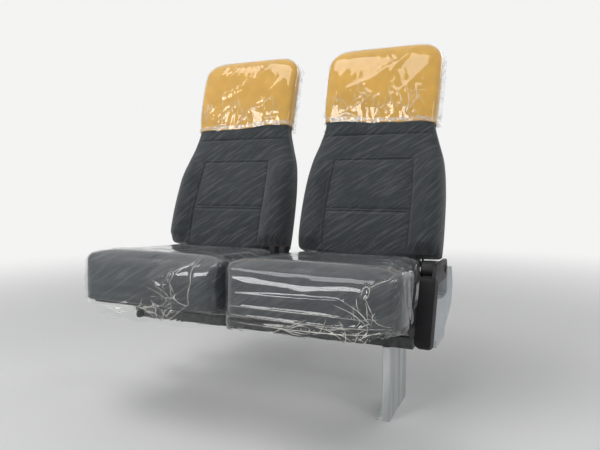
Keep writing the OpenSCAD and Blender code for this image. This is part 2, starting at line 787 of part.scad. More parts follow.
// Armrest, drawn raised: the arm leans forward from its hub to the rear end of the pad and runs
// on inside it. At rest it is turned down by arm_swing.
arm_outline = soften([
    [0.92 * arm_hub_r, 0.4 * arm_hub_r, 0.1],
    [-0.57 * arm_pad_start, arm_top - 0.1 * arm_pad_t, 22],
    [-2.5 * arm_pad_start, arm_top - 0.16 * arm_pad_t, 14],
    [-2.5 * arm_pad_start, arm_top - 0.8 * arm_pad_t, 14],
    [-1.3 * arm_pad_start, arm_top - 0.9 * arm_pad_t, 26],
    [-0.92 * arm_hub_r, -0.4 * arm_hub_r, 0.1]
]);
module armrest_arm() {
    color(plastic_black) at_armrest() difference() {
        plate(arm_u, arm_u + arm_t) union() {
            circle(arm_hub_r);
            polygon(arm_outline);
        }
        bar(arm_u - 1, arm_u + arm_t + 1, arm_pin_r + pin_clearance);
    }
}

module armrest_pad() {
    pad_len = arm_pad_end - arm_pad_start;
    mid_y = -(arm_pad_end + arm_pad_start) / 2;
    color(plastic_black) at_armrest() difference() {
        intersection() {
            translate([0, mid_y, arm_top - arm_pad_t / 2])
                plate(arm_pad_in, arm_pad_out) rounded(pad_len, arm_pad_t, arm_pad_r);
            translate([(arm_pad_in + arm_pad_out) / 2, mid_y, 0]) linear_extrude(2 * arm_top)
                rounded(arm_pad_w, pad_len, 0.6 * arm_pad_r);
        }
        plate(arm_u, arm_u + arm_t) polygon(arm_outline);
    }
}

leg();
saddle();
front_beam();
rear_beam();
wall_bracket();
side_plate_aisle_outer();
side_plate_aisle_inner();
side_plate_window_inner();
side_plate_window_outer();
armrest_pivot();
seat_pan_aisle();
seat_pan_window();
cushion_aisle();
cushion_window();
cushion_film_aisle();
cushion_film_window();
film_skirt_aisle();
film_skirt_window();
side_cover();
recline_lever_aisle();
recline_lever_window();
buckle_aisle();
buckle_window();
buckle_button_aisle();
buckle_button_window();
lap_belt_aisle();
lap_belt_window();
belt_tongue_aisle();
belt_tongue_window();
back_arms_aisle();
back_pad_aisle();
back_shell_aisle();
headrest_cover_aisle();
headrest_film_aisle();
back_arms_window();
back_pad_window();
back_shell_window();
headrest_cover_window();
headrest_film_window();
armrest_arm();
armrest_pad();
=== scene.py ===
# %% [markdown]
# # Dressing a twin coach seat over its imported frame
# The frame is the solid model of a twin coach seat: steel parts, plastic parts and plain blocks where
# the real seat has foam, cloth and clear film. This lesson keeps the steel where it is, gives every
# part a finish, and replaces each soft block by a piece that is made the way the real one is.

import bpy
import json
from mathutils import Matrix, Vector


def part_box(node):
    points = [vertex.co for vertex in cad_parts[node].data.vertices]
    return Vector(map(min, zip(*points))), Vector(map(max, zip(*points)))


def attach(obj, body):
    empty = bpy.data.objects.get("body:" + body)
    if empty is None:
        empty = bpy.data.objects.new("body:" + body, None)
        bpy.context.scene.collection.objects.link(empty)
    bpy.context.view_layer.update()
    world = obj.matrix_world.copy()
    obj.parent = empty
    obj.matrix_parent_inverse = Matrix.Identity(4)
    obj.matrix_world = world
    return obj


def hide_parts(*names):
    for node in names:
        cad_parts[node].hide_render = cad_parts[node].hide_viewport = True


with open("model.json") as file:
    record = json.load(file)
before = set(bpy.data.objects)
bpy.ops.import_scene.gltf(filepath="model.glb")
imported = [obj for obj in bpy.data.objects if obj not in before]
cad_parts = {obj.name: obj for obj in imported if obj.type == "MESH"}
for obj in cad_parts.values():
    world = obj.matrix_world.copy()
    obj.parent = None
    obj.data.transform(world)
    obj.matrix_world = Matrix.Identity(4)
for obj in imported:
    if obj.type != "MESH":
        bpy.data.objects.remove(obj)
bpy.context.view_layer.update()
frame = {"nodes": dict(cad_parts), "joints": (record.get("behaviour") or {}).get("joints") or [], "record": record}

import json
import math
import random
from contextlib import contextmanager

import bmesh
import bpy
import numpy as np
from mathutils import Vector
from mathutils.bvhtree import BVHTree
from mathutils.noise import noise

scene = bpy.context.scene

# %% [markdown]
# ## Places
# The window seat is the aisle seat seen in a mirror. A back is described upright: u runs from its
# middle to its outer side, w to the rear, and v up from its pivot. It is then leaned back by its rake.
# The pivots come from the joints, so nothing here has to be fitted.

# %% Seats and backs
PIVOT = {joint["name"]: Vector(joint["pos_m"]) for joint in frame["joints"]}
SIDES = {"aisle": 1, "window": -1}
RAKE = math.radians(17)


def back_place(side, points):
    """Points (u, w, v) of an upright back, leaned and moved to the room."""
    u, w, v = np.moveaxis(np.asarray(points, float), -1, 0)
    pivot = PIVOT["recline_" + side]
    return np.stack([
        pivot.x + SIDES[side] * u,
        pivot.y + w * math.cos(RAKE) + v * math.sin(RAKE),
        pivot.z - w * math.sin(RAKE) + v * math.cos(RAKE)], axis=-1)


def rearward(side):
    """The direction from a back's front to its rear."""
    return Vector(back_place(side, [0, 1, 0]) - back_place(side, [0, 0, 0]))


print("pivots", {name: tuple(round(x, 3) for x in p) for name, p in PIVOT.items()})

# %% [markdown]
# ## Helpers for meshes
# Most soft pieces here are grids: rows of points with faces between them. A grid keeps its rows and
# columns, so it can carry a cloth pattern that is measured in metres. Hard pieces start from the
# frame's own mesh, whose edges are knife sharp. Real edges have a small radius that catches light,
# so a copy gets one.

# %% Mesh helpers


def new_piece(name, points, faces, smooth=True):
    """A mesh object from points and faces."""
    mesh = bpy.data.meshes.new(name)
    mesh.from_pydata([tuple(p) for p in points], [], [tuple(f) for f in faces])
    mesh.validate()
    if smooth:
        mesh.shade_smooth()
    piece = bpy.data.objects.new(name, mesh)
    scene.collection.objects.link(piece)
    return piece


def grid_piece(name, grid, pattern=None, wrap=False, flip=False):
    """A piece from rows of points. pattern gives each point its place on the flat cloth."""
    rows, columns = grid.shape[:2]
    across = columns if wrap else columns - 1
    faces = []
    for j in range(rows - 1):
        for k in range(across):
            a, b = j * columns + k, j * columns + (k + 1) % columns
            face = (a, b, b + columns, a + columns)
            faces.append(face[::-1] if flip else face)
    piece = new_piece(name, grid.reshape(-1, 3), faces)
    if pattern is not None:
        cloth = piece.data.uv_layers.new(name="cloth")
        flat = pattern.reshape(-1, 2)
        for loop in piece.data.loops:
            cloth.data[loop.index].uv = flat[loop.vertex_index]
    return piece


@contextmanager
def opened(mesh):
    """Opens a mesh for editing, and writes it back."""
    form = bmesh.new()
    form.from_mesh(mesh)
    form.verts.ensure_lookup_table()
    yield form
    form.to_mesh(mesh)
    form.free()


def close_rings(piece, *rings):
    """Fills rings of vertex numbers with one face each."""
    with opened(piece.data) as form:
        for ring in rings:
            form.faces.new([form.verts[i] for i in ring])
        bmesh.ops.recalc_face_normals(form, faces=form.faces)


def close_strip(piece, one, other):
    """Joins two lines of vertex numbers by a strip of faces."""
    close_rings(piece, *(list(dict.fromkeys([one[k], one[k + 1], other[k + 1], other[k]]))
                         for k in range(len(one) - 1)))


def vectors_in(source, key):
    """One vector for each item of a mesh, as an array (n, 3)."""
    flat = np.empty(len(source) * 3, np.float32)
    source.foreach_get(key, flat)
    return flat.reshape(-1, 3).astype(float)


def points_of(piece):
    return vectors_in(piece.data.vertices, "co")


def normals_of(piece):
    return vectors_in(piece.data.vertex_normals, "vector")


def move_points(piece, points):
    piece.data.vertices.foreach_set("co", np.asarray(points, np.float32).ravel())
    piece.data.update()


def area_of(piece):
    return sum(face.area for face in piece.data.polygons)


def surface_of(piece):
    """The piece's faces, ready for finding where a ray meets them."""
    mesh = piece.data
    return BVHTree.FromPolygons([v.co for v in mesh.vertices], [f.vertices for f in mesh.polygons])


def keep_modifiers(piece):
    """Applies all modifiers of a piece."""
    depsgraph = bpy.context.evaluated_depsgraph_get()
    mesh = bpy.data.meshes.new_from_object(piece.evaluated_get(depsgraph))
    piece.modifiers.clear()
    piece.data = mesh


def subdivided(piece, levels=1):
    modifier = piece.modifiers.new("subdivision", "SUBSURF")
    modifier.levels = modifier.render_levels = levels
    return piece


def joined_copy(node, name, flatten=False):
    """A new object with a copy of a node's mesh, whose corners are joined."""
    mesh = frame["nodes"][node].data.copy()
    mesh.materials.clear()
    with opened(mesh) as form:
        bmesh.ops.remove_doubles(form, verts=form.verts, dist=1e-6)
        if flatten:
            bmesh.ops.dissolve_limit(form, angle_limit=math.radians(0.5), verts=form.verts, edges=form.edges)
    piece = bpy.data.objects.new(name, mesh)
    scene.collection.objects.link(piece)
    return piece


def rounded_copy(node, name, radius, segments=3, angle=28):
    """The frame's node with its sharp edges rounded. The node itself is hidden behind it."""
    piece = joined_copy(node, name, flatten=True)
    piece.data.shade_smooth()
    bevel = piece.modifiers.new("edges", "BEVEL")
    bevel.width, bevel.segments = radius, segments
    bevel.limit_method, bevel.angle_limit = "ANGLE", math.radians(angle)
    bevel.use_clamp_overlap, bevel.harden_normals = True, True
    bevel.miter_outer = "MITER_ARC"
    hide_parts(node)
    return piece


def body_of(node):
    return next(b for b, nodes in frame["record"]["behaviour"]["bodies"].items() if node in nodes)


# %% [markdown]
# ## Shader helpers
# A material is a small network of nodes. These helpers add a node and wire it in one line, so that
# the recipes below stay readable. An effect that several finishes share becomes a node group: it is
# built once and placed in each material with its own values.

# %% Shader helpers


def feed(tree, socket, value):
    """Gives a socket a value, or a wire from another node's output."""
    if isinstance(value, bpy.types.NodeSocket):
        tree.links.new(value, socket)
    else:
        socket.default_value = value


def wire(tree, sockets, **values):
    """Feeds sockets by name, or by number as _0 and _1. Base_Color stands for Base Color."""
    for key, value in values.items():
        feed(tree, sockets[int(key[1:]) if key[1:].isdigit() else key.replace("_", " ")], value)


def put(tree, kind, settings=None, **values):
    """Adds a shader node and feeds its sockets."""
    node = tree.nodes.new("ShaderNode" + kind)
    for key, value in (settings or {}).items():
        setattr(node, key, value)
    wire(tree, node.inputs, **values)
    return node


def sums(tree, operation, a, b=0.0, clamp=False):
    settings = {"operation": operation, "use_clamp": clamp}
    return put(tree, "Math", settings, _0=a, _1=b).outputs[0]


def times(tree, a, b):
    return sums(tree, "MULTIPLY", a, b)


def plus(tree, a, b, share=1.0, clamp=False):
    """a and a share of b."""
    return sums(tree, "ADD", a, times(tree, b, share), clamp)


def remap(tree, value, low, high, to_low=0.0, to_high=1.0, smooth=False):
    settings = {"interpolation_type": "SMOOTHSTEP" if smooth else "LINEAR"}
    return put(tree, "MapRange", settings, Value=value, From_Min=low, From_Max=high,
               To_Min=to_low, To_Max=to_high).outputs[0]


def blend_colours(tree, factor, a, b):
    """A mix of two colours, each (r, g, b) or a wire."""
    mix = put(tree, "Mix", {"data_type": "RGBA"})
    for number, value in ((0, factor), (6, a), (7, b)):
        feed(tree, mix.inputs[number], (*value, 1) if isinstance(value, tuple) else value)
    return mix.outputs[2]


def scaled_by(tree, vector, factor):
    return put(tree, "VectorMath", {"operation": "SCALE"}, Vector=vector, Scale=factor).outputs[0]


def noise_in(tree, vector, scale, **values):
    return put(tree, "TexNoise", Vector=vector, Scale=scale, **values).outputs["Fac"]


def stretched(tree, vector, *scale):
    return put(tree, "Mapping", Vector=vector, Scale=scale).outputs[0]


def new_group(name, values, *outputs):
    """A node group with a Vector input, numbers with their usual values, and outputs that are numbers."""
    tree = bpy.data.node_groups.new(name, "ShaderNodeTree")
    tree.interface.new_socket("Vector", in_out="INPUT", socket_type="NodeSocketVector")
    for label, value in values.items():
        socket = tree.interface.new_socket(label, in_out="INPUT", socket_type="NodeSocketFloat")
        socket.default_value = value
    for label in outputs:
        tree.interface.new_socket(label, in_out="OUTPUT", socket_type="NodeSocketFloat")
    return tree, tree.nodes.new("NodeGroupInput").outputs, tree.nodes.new("NodeGroupOutput").inputs


def place_group(tree, group, **values):
    node = tree.nodes.new("ShaderNodeGroup")
    node.node_tree = group
    wire(tree, node.inputs, **values)
    return node.outputs


def new_finish(name, colour, roughness, space="Object", **constants):
    """A material, its tree, its Principled shader's sockets, and the place on the piece.

    Constants go straight onto the shader's own sockets.
    """
    material = bpy.data.materials.new(name)
    material.use_nodes = True
    tree = material.node_tree
    shader = tree.nodes["Principled BSDF"].inputs
    wire(tree, shader, Base_Color=(*colour, 1), Roughness=roughness, **constants)
    return material, tree, shader, tree.nodes.new("ShaderNodeTexCoord").outputs[space]


def bump(tree, height, distance, strength=1.0):
    return put(tree, "Bump", Height=height, Distance=distance, Strength=strength).outputs[0]


# %% [markdown]
# ## Effects that several finishes share
# *Grain* is the fine pebbled skin of moulded plastic and of the armrest. *Mottle* is slow variation,
# the way paint and plastic are never one even colour. *Weave* is threads over and under each other.
# *Rubbed edges* finds convex edges, which wear bright first.

# %% Grain, mottle, weave and rubbed edges
tree, given, out = new_group("grain", {"Size": 0.0012}, "Height", "Shade")
per_metre = sums(tree, "DIVIDE", 1.0, given["Size"])
cells = put(tree, "TexVoronoi", Vector=given["Vector"], Scale=per_metre).outputs["Distance"]
specks = noise_in(tree, given["Vector"], per_metre, Detail=3.0)
pebbles = plus(tree, times(tree, cells, 0.7), specks, 0.5)
wire(tree, out, Height=pebbles, Shade=remap(tree, pebbles, 0.35, 0.85))
grain_group = tree

tree, given, out = new_group("mottle", {"Size": 0.1}, "Shade")
per_metre = sums(tree, "DIVIDE", 1.0, given["Size"])
clouds = noise_in(tree, given["Vector"], per_metre, Detail=5.0, Roughness=0.6)
wire(tree, out, Shade=remap(tree, clouds, 0.3, 0.7))
mottle_group = tree

tree, given, out = new_group("weave", {"Pitch": 0.001}, "Height", "Fibre")
scaled = scaled_by(tree, given["Vector"], sums(tree, "DIVIDE", math.pi, given["Pitch"]))
parts = put(tree, "SeparateXYZ", Vector=scaled).outputs
warp, weft = (sums(tree, "SINE", parts[k]) for k in (0, 1))
crossing = times(tree, sums(tree, "ABSOLUTE", warp), sums(tree, "ABSOLUTE", weft))
wire(tree, out, Height=plus(tree, crossing, times(tree, warp, weft), 0.4),
     Fibre=noise_in(tree, scaled, 0.9, Detail=4.0))
weave_group = tree

tree, given, out = new_group("rubbed edges", {"Reach": 0.56}, "Edge")
sharp = put(tree, "NewGeometry").outputs["Pointiness"]
patches = noise_in(tree, given["Vector"], 60.0, Detail=4.0)
edge = remap(tree, sharp, 0.51, given["Reach"])
wire(tree, out, Edge=times(tree, edge, remap(tree, patches, 0.35, 0.65)))
edge_group = tree


def mottled(tree, where, size):
    return place_group(tree, mottle_group, Vector=where, Size=size)["Shade"]


print("groups:", [group.name for group in bpy.data.node_groups])

# %% [markdown]
# ## Finishes of the hard parts
# Powder coat is a rough skin with a faint orange peel. The leg is silver paint over brushed sheet, with broad
# upright bands of painted shading.
# The mouldings are pigmented all through, so wear only polishes them.

# %% Metal and plastic finishes


def powder_coat():
    material, tree, shader, where = new_finish("powder_coat", (0.025, 0.026, 0.028), 0.46)
    peel = place_group(tree, grain_group, Vector=where, Size=0.0016)
    cloud = mottled(tree, where, 0.09)
    rubbed = place_group(tree, edge_group, Vector=where)
    base = blend_colours(tree, cloud, (0.020, 0.021, 0.023), (0.034, 0.035, 0.038))
    wire(tree, shader, Base_Color=blend_colours(tree, rubbed["Edge"], base, (0.12, 0.12, 0.125)),
         Roughness=remap(tree, cloud, 0, 1, 0.38, 0.52), Normal=bump(tree, peel["Height"], 0.00012))
    return material


def silver_paint():
    material, tree, shader, where = new_finish("silver_paint", (0.68, 0.69, 0.70), 0.36, Metallic=0.55)
    lines = noise_in(tree, stretched(tree, where, 260, 260, 5), 1.0, Detail=3.0)
    # Painted shading: broad upright bands of lighter and darker colour stand in for the light and dark of the
    # leg's pressed form.
    broad = noise_in(tree, stretched(tree, where, 30, 30, 2.2), 1.0, Detail=1.0)
    painted_leg_shading = remap(tree, broad, 0.35, 0.65)
    wire(tree, shader, Base_Color=blend_colours(tree, painted_leg_shading, (0.42, 0.45, 0.46), (0.64, 0.66, 0.67)),
         Roughness=remap(tree, lines, 0.2, 0.8, 0.28, 0.44), Normal=bump(tree, lines, 0.00004))
    return material


def moulded(name, low, high, roughness, size=0.0011, depth=0.00012, shine=0.5):
    """A plastic between two colours, with a pebbled skin whose edges are polished by use."""
    material, tree, shader, where = new_finish(name, low, roughness, Specular_IOR_Level=shine)
    skin = place_group(tree, grain_group, Vector=where, Size=size)
    mixed = plus(tree, times(tree, mottled(tree, where, 0.07), 0.6), skin["Shade"], 0.4)
    polish = times(tree, place_group(tree, edge_group, Vector=where)["Edge"], 0.18)
    rough = remap(tree, skin["Shade"], 0, 1, roughness + 0.06, roughness - 0.05)
    wire(tree, shader, Base_Color=blend_colours(tree, mixed, low, high),
         Roughness=sums(tree, "SUBTRACT", rough, polish), Normal=bump(tree, skin["Height"], depth))
    return material


def polished_plate():
    material, tree, shader, where = new_finish("polished_plate", (0.80, 0.81, 0.82), 0.16, Metallic=1.0)
    wire(tree, shader, Roughness=remap(tree, mottled(tree, where, 0.02), 0, 1, 0.10, 0.26))
    return material


def press_button():
    material, tree, shader, where = new_finish(
        "press_button", (0.55, 0.03, 0.02), 0.30, Coat_Weight=0.4, Coat_Roughness=0.15)
    cloud = mottled(tree, where, 0.012)
    wire(tree, shader, Base_Color=blend_colours(tree, cloud, (0.46, 0.02, 0.014), (0.62, 0.04, 0.026)),
         Roughness=remap(tree, cloud, 0, 1, 0.26, 0.40))
    return material


FINISH = {
    "steel_black": powder_coat(),
    "steel_silver": silver_paint(),
    "plastic_black": moulded("black_moulding", (0.009, 0.009, 0.010), (0.019, 0.019, 0.021), 0.50,
                             shine=0.25),
    "armrest_skin": moulded("armrest_skin", (0.007, 0.007, 0.008), (0.015, 0.015, 0.017), 0.56,
                            size=0.0017, depth=0.00026, shine=0.2),
    "plastic_shell": moulded("charcoal_moulding", (0.030, 0.032, 0.035), (0.046, 0.048, 0.052), 0.50, 0.0013),
    "plastic_grey": moulded("grey_moulding", (0.43, 0.46, 0.48), (0.51, 0.535, 0.55), 0.46, 0.0010, 0.00007),
    "chrome": polished_plate(),
    "button_red": press_button(),
}
print("hard finishes:", sorted(FINISH))

# %% [markdown]
# ## The seat cloth
# The seats are covered in a dark moquette with lighter streaks that climb to the right. Seen close, a
# streak is made of many short dashes, because single threads of a lighter yarn come up through the
# pile. So the streaks are stretched noise at an angle, and they are broken by a second noise that is
# stretched sideways.

# %% Seat cloth, cover cloth and webbing
tree, given, out = new_group("broken streaks", {"Angle": math.radians(33)}, "Streak", "Dash")
turned = put(tree, "VectorRotate", {"rotation_type": "Z_AXIS"}, Vector=given["Vector"],
             Angle=times(tree, given["Angle"], -1.0)).outputs[0]
broad = noise_in(tree, stretched(tree, turned, 11, 120, 1), 1.0, Detail=2.0, Distortion=0.3)
fine = noise_in(tree, stretched(tree, turned, 32, 360, 1), 1.0, Detail=2.0, Distortion=0.2)
dashes = noise_in(tree, stretched(tree, given["Vector"], 150, 900, 1), 1.0, Detail=2.0)
both = plus(tree, remap(tree, broad, 0.50, 0.68), remap(tree, fine, 0.46, 0.66), 0.5)
broken = times(tree, both, remap(tree, dashes, 0.36, 0.60, 0.25, 1.0))
wire(tree, out, Streak=sums(tree, "MINIMUM", broken, 1.0), Dash=dashes)
streak_group = tree


def seat_cloth():
    material, tree, shader, flat = new_finish(
        "seat_cloth", (0.035, 0.039, 0.044), 0.88, "UV", Sheen_Weight=0.35, Sheen_Roughness=0.4)
    streaks = place_group(tree, streak_group, Vector=flat)
    threads = place_group(tree, weave_group, Vector=flat, Pitch=0.0011)
    ground = blend_colours(tree, mottled(tree, flat, 0.12), (0.020, 0.025, 0.029), (0.031, 0.037, 0.041))
    light = blend_colours(tree, times(tree, streaks["Streak"], 0.9), ground, (0.090, 0.097, 0.101))
    fibre = remap(tree, threads["Fibre"], 0.3, 0.7, 0.72, 1.2)
    wire(tree, shader, Base_Color=scaled_by(tree, light, fibre),
         Normal=bump(tree, threads["Height"], 0.00025, 0.8))
    return material


def cover_cloth():
    material, tree, shader, flat = new_finish("cover_cloth", (0.72, 0.42, 0.07), 0.80, "UV", Sheen_Weight=0.2)
    threads = place_group(tree, weave_group, Vector=flat, Pitch=0.0007)
    ground = blend_colours(tree, mottled(tree, flat, 0.06), (0.47, 0.245, 0.018), (0.58, 0.315, 0.030))
    fibre = remap(tree, threads["Fibre"], 0.3, 0.7, 0.90, 1.06)
    wire(tree, shader, Base_Color=scaled_by(tree, ground, fibre),
         Normal=bump(tree, threads["Height"], 0.00016, 0.7))
    return material


def belt_webbing():
    material, tree, shader, flat = new_finish(
        "belt_webbing", (0.018, 0.018, 0.020), 0.62, "UV", Sheen_Weight=0.15)
    ribs = place_group(tree, weave_group, Vector=flat, Pitch=0.0018)
    fibre = remap(tree, ribs["Fibre"], 0.3, 0.7)
    wire(tree, shader, Base_Color=blend_colours(tree, fibre, (0.013, 0.013, 0.015), (0.034, 0.034, 0.037)),
         Normal=bump(tree, ribs["Height"], 0.0004))
    return material


def sewing_thread():
    material, tree, shader, where = new_finish("sewing_thread", (0.12, 0.125, 0.13), 0.6, Sheen_Weight=0.3)
    twist = put(tree, "TexWave", {"wave_type": "BANDS"}, Vector=where, Scale=700.0).outputs["Fac"]
    wire(tree, shader, Base_Color=blend_colours(tree, twist, (0.09, 0.095, 0.10), (0.16, 0.165, 0.17)))
    return material


FINISH.update(seat_fabric=seat_cloth(), cover_fabric=cover_cloth(), webbing=belt_webbing(),
              thread=sewing_thread())
print("cloth finishes:", [FINISH[key].name for key in ("seat_fabric", "cover_fabric", "webbing", "thread")])

# %% [markdown]
# ## The clear film
# Packing film is almost invisible until it folds: then its creases catch the light as white lines.
# So it is a clear pane with hardly any bending of light, and a coat on top gives the gloss. A mask of
# creases, built from ridged noise, dents it. Where film is welded or hemmed it lies in several layers
# and turns milky, and its creases there are painted whiter as highlights. The pleats are painted near
# white as the highlights of sharp creases. These places have finishes of their own that use Alpha.

# %% Film finish
tree, given, out = new_group("film creases", {"Size": 0.05}, "Crease", "Haze")
per_metre = sums(tree, "DIVIDE", 1.0, given["Size"])
warped = noise_in(tree, given["Vector"], per_metre, Detail=3.0, Distortion=1.4)
ridge = sums(tree, "ABSOLUTE", sums(tree, "SUBTRACT", warped, 0.5))
line = remap(tree, ridge, 0.0, 0.018, 1.0, 0.0, smooth=True)
gate = noise_in(tree, given["Vector"], times(tree, per_metre, 0.6))
wire(tree, out, Crease=times(tree, line, remap(tree, gate, 0.45, 0.62)), Haze=remap(tree, gate, 0.3, 0.7))
crease_group = tree


def clear_film():
    material, tree, shader, where = new_finish(
        "clear_film", (0.97, 0.98, 0.98), 0.03, IOR=1.02, Transmission_Weight=1.0,
        Coat_Weight=1.0, Coat_IOR=1.5, Coat_Roughness=0.05)
    large = place_group(tree, crease_group, Vector=where, Size=0.07)
    small = place_group(tree, crease_group, Vector=where, Size=0.024)
    wire(tree, shader, Normal=bump(tree, plus(tree, large["Crease"], small["Crease"], 0.5), 0.0012),
         Base_Color=blend_colours(tree, large["Haze"], (0.86, 0.89, 0.90), (0.96, 0.97, 0.97)))
    return material


def welded_film():
    """Film that is doubled and crushed at a weld or hem: milky, and painted whiter along its creases as their
    highlights.
    """
    material, tree, shader, where = new_finish(
        "welded_film", (0.93, 0.94, 0.95), 0.22, Coat_Weight=1.0, Coat_Roughness=0.08)
    small = place_group(tree, crease_group, Vector=where, Size=0.014)
    # Alpha of the white film: its haze is partly the real milk of doubled film and partly painted highlight; the
    # crease lines add painted highlights.
    milky = plus(tree, remap(tree, small["Haze"], 0, 1, 0.14, 0.42), small["Crease"], 0.6, clamp=True)
    wire(tree, shader, Alpha=milky, Normal=bump(tree, small["Crease"], 0.001))
    return material


def pleated_film():
    """A tight pleat of stretched film, painted almost white as a highlight, with patches of painted yellowish
    light.
    """
    material, tree, shader, where = new_finish(
        "pleated_film", (0.92, 0.92, 0.88), 0.18, Coat_Weight=1.0, Coat_Roughness=0.06)
    cloud = mottled(tree, where, 0.02)
    # Painted highlight: near white and mostly opaque, with yellowish patches of painted light.
    wire(tree, shader, Base_Color=blend_colours(tree, cloud, (0.95, 0.95, 0.95), (0.90, 0.86, 0.70)),
         Alpha=remap(tree, cloud, 0, 1, 0.85, 0.35))
    return material


FINISH.update(clear_film=clear_film(), welded_film=welded_film(), pleated_film=pleated_film())


def finished(piece, slot, body):
    """Gives a piece its finish, and the body that it rides on."""
    piece.data.materials.clear()
    piece.data.materials.append(FINISH[slot])
    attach(piece, body)
    return piece


print("finishes in all:", len(FINISH))

# %% [markdown]
# ## Steel and plastic
# Every node of the frame that keeps its own shape takes the finish that the record names for it. The
# ones that meet the eye get a copy with rounded edges.

# %% Finish the frame's own nodes
SLOT = {part["node"]: part["material_slot"] for part in frame["record"]["subparts"]}
for node, thing in frame["nodes"].items():
    thing.data.materials.clear()
    thing.data.materials.append(FINISH[SLOT[node]])

EDGES = {
    "leg": ("leg_pressing", 0.0012), "side_cover": ("side_cover_shell", 0.0012),
    "armrest_arm": ("armrest_lever", 0.0018), "armrest_pivot": ("armrest_stud", 0.0008),
    "saddle": ("saddle_tube", 0.0008), "front_beam": ("front_tube", 0.0008),
    "rear_beam": ("rear_tube", 0.0008), "wall_bracket": ("wall_plate", 0.0008),
    "side_plate_aisle_outer": ("frame_plate_1", 0.0007),
    "side_plate_aisle_inner": ("frame_plate_2", 0.0007),
    "side_plate_window_inner": ("frame_plate_3", 0.0007),
    "side_plate_window_outer": ("frame_plate_4", 0.0007),
}
PAIRED_EDGES = {
    "recline_lever": ("lever", 0.0012), "buckle": ("buckle_body", 0.0022),
    "buckle_button": ("button", 0.0012), "belt_tongue": ("tongue", 0.0007),
    "seat_pan": ("pan", 0.0008), "back_arms": ("back_irons", 0.0008),
}
for node, (name, radius) in PAIRED_EDGES.items():
    EDGES.update({f"{node}_{side}": (f"{name}_{side}", radius) for side in SIDES})
for node, (name, radius) in EDGES.items():
    finished(rounded_copy(node, name, radius), SLOT[node], body_of(node))
print("rounded", len(EDGES), "hard parts")

# %% [markdown]
# ## The form of a back
# The foam of a back is moulded: narrow at the shoulders, with two bolsters that hold the sides of the
# body, and a rounded head. Its outline is a list of sections, each with a half width and two depths,
# and a smooth curve runs through them. The pad, the rear shell, the cover and the film all use this
# one form, each a little further out, so they nest like the real layers.

# %% Sections of a back
BACK_LENGTH, BACK_HALF, FRONT_PLANE, CROWN = 0.715, 0.216, 0.057, 0.055
PAD_START, BOLSTER_START, BOLSTER_HEIGHT, BOLSTER_END = 0.028, 0.058, 0.025, 0.57
CROWN_SIDES, CROWN_FACES = 1.1, 0.42      # how strongly the crown rounds the sides and the two faces
SECTIONS = np.array([
    [0.03, 0.968, 0.000, 0.080], [0.10, 0.995, -0.008, 0.085], [0.22, 1.000, -0.010, 0.086],
    [0.36, 0.986, -0.002, 0.082], [0.48, 0.940, 0.005, 0.076], [0.57, 0.852, 0.008, 0.071],
    [0.64, 0.792, 0.004, 0.067], [0.72, 0.806, -0.004, 0.063], [0.85, 0.815, -0.006, 0.059],
    [1.00, 0.810, 0.002, 0.054]])


def section(share, column):
    """A smooth curve through one column of SECTIONS."""
    last = len(SECTIONS) - 1
    i = int(np.clip(np.searchsorted(SECTIONS[:, 0], share, side="right") - 1, 0, last - 1))

    def slope(at):
        a, b = max(at - 1, 0), min(at + 1, last)
        return (SECTIONS[b, column] - SECTIONS[a, column]) / (SECTIONS[b, 0] - SECTIONS[a, 0])

    step = SECTIONS[i + 1, 0] - SECTIONS[i, 0]
    t = (share - SECTIONS[i, 0]) / step
    return ((2 * t**3 - 3 * t**2 + 1) * SECTIONS[i, column] + (t**3 - 2 * t**2 + t) * step * slope(i)
            + (3 * t**2 - 2 * t**3) * SECTIONS[i + 1, column] + (t**3 - t**2) * step * slope(i + 1))


def squircle(k):
    """The height of a rounded square at a share k of its half width."""
    return np.clip(1 - k**5, 0, 1)**0.2


def ease(t):
    t = np.clip(t, 0, 1)
    return t * t * (3 - 2 * t)


def back_limits(v, grow):
    """Half width, front and rear of the section at height v, grown outwards."""
    top = BACK_LENGTH + grow
    radius = CROWN + grow
    rise = max(v - top + radius, 0)
    pull = radius - math.sqrt(max(radius**2 - rise**2, 0)) if rise > 0 else 0
    share = min(v / BACK_LENGTH, 1)
    half = section(share, 1) * BACK_HALF + grow - pull * CROWN_SIDES
    front = section(share, 2) - FRONT_PLANE - grow + pull * CROWN_FACES
    rear = section(share, 3) - FRONT_PLANE + grow - pull * CROWN_FACES
    return half, front, rear


def bolster(v, k):
    share = v / BACK_LENGTH
    return (ease((share - BOLSTER_START / BACK_LENGTH) / 0.05) * ease((BOLSTER_END - share) / 0.2)
            * ease((k - 0.55) / 0.25) * ease((1.02 - k) / 0.12))


def across_front(seam):
    """Signed shares of the half width, close together beside the seam and round the sides."""
    beside = seam + np.array([-0.018, -0.009, 0, 0.009, 0.018])
    inner = np.concatenate([np.linspace(0, seam - 0.03, 26), beside])
    outer = np.linspace(inner[-1] + 0.02, 0.85, 13)
    lift = np.linspace(squircle(0.85), 0, 10)[1:]
    shares = np.concatenate([inner, outer, squircle(lift)])
    return np.concatenate([-shares[:0:-1], shares])


def front_line(v, shares, grow=0.0, wings=1.0, half=None):
    """Points (u, w, v) along the front of a section, from side to side."""
    full, front, rear = back_limits(v, grow)
    half = full if half is None else half
    middle, thick = (front + rear) / 2, (rear - front) / 2
    proud = wings * BOLSTER_HEIGHT * np.array([bolster(v, k) for k in np.abs(shares)])
    return np.stack([half * shares, middle - thick * squircle(np.abs(shares)) - proud,
                     np.full_like(shares, v)], axis=-1)


def rear_line(v, depth, count):
    """Points along the right side of a section, from its widest place back to w = depth."""
    half, front, rear = back_limits(v, 0.0)
    middle, thick = (front + rear) / 2, (rear - front) / 2
    lift = np.linspace(0, min(max((depth - middle) / thick, 0.02), 0.98), count + 1)[1:]
    return np.stack([half * squircle(lift), middle + lift * thick, np.full(count, v)], axis=-1)


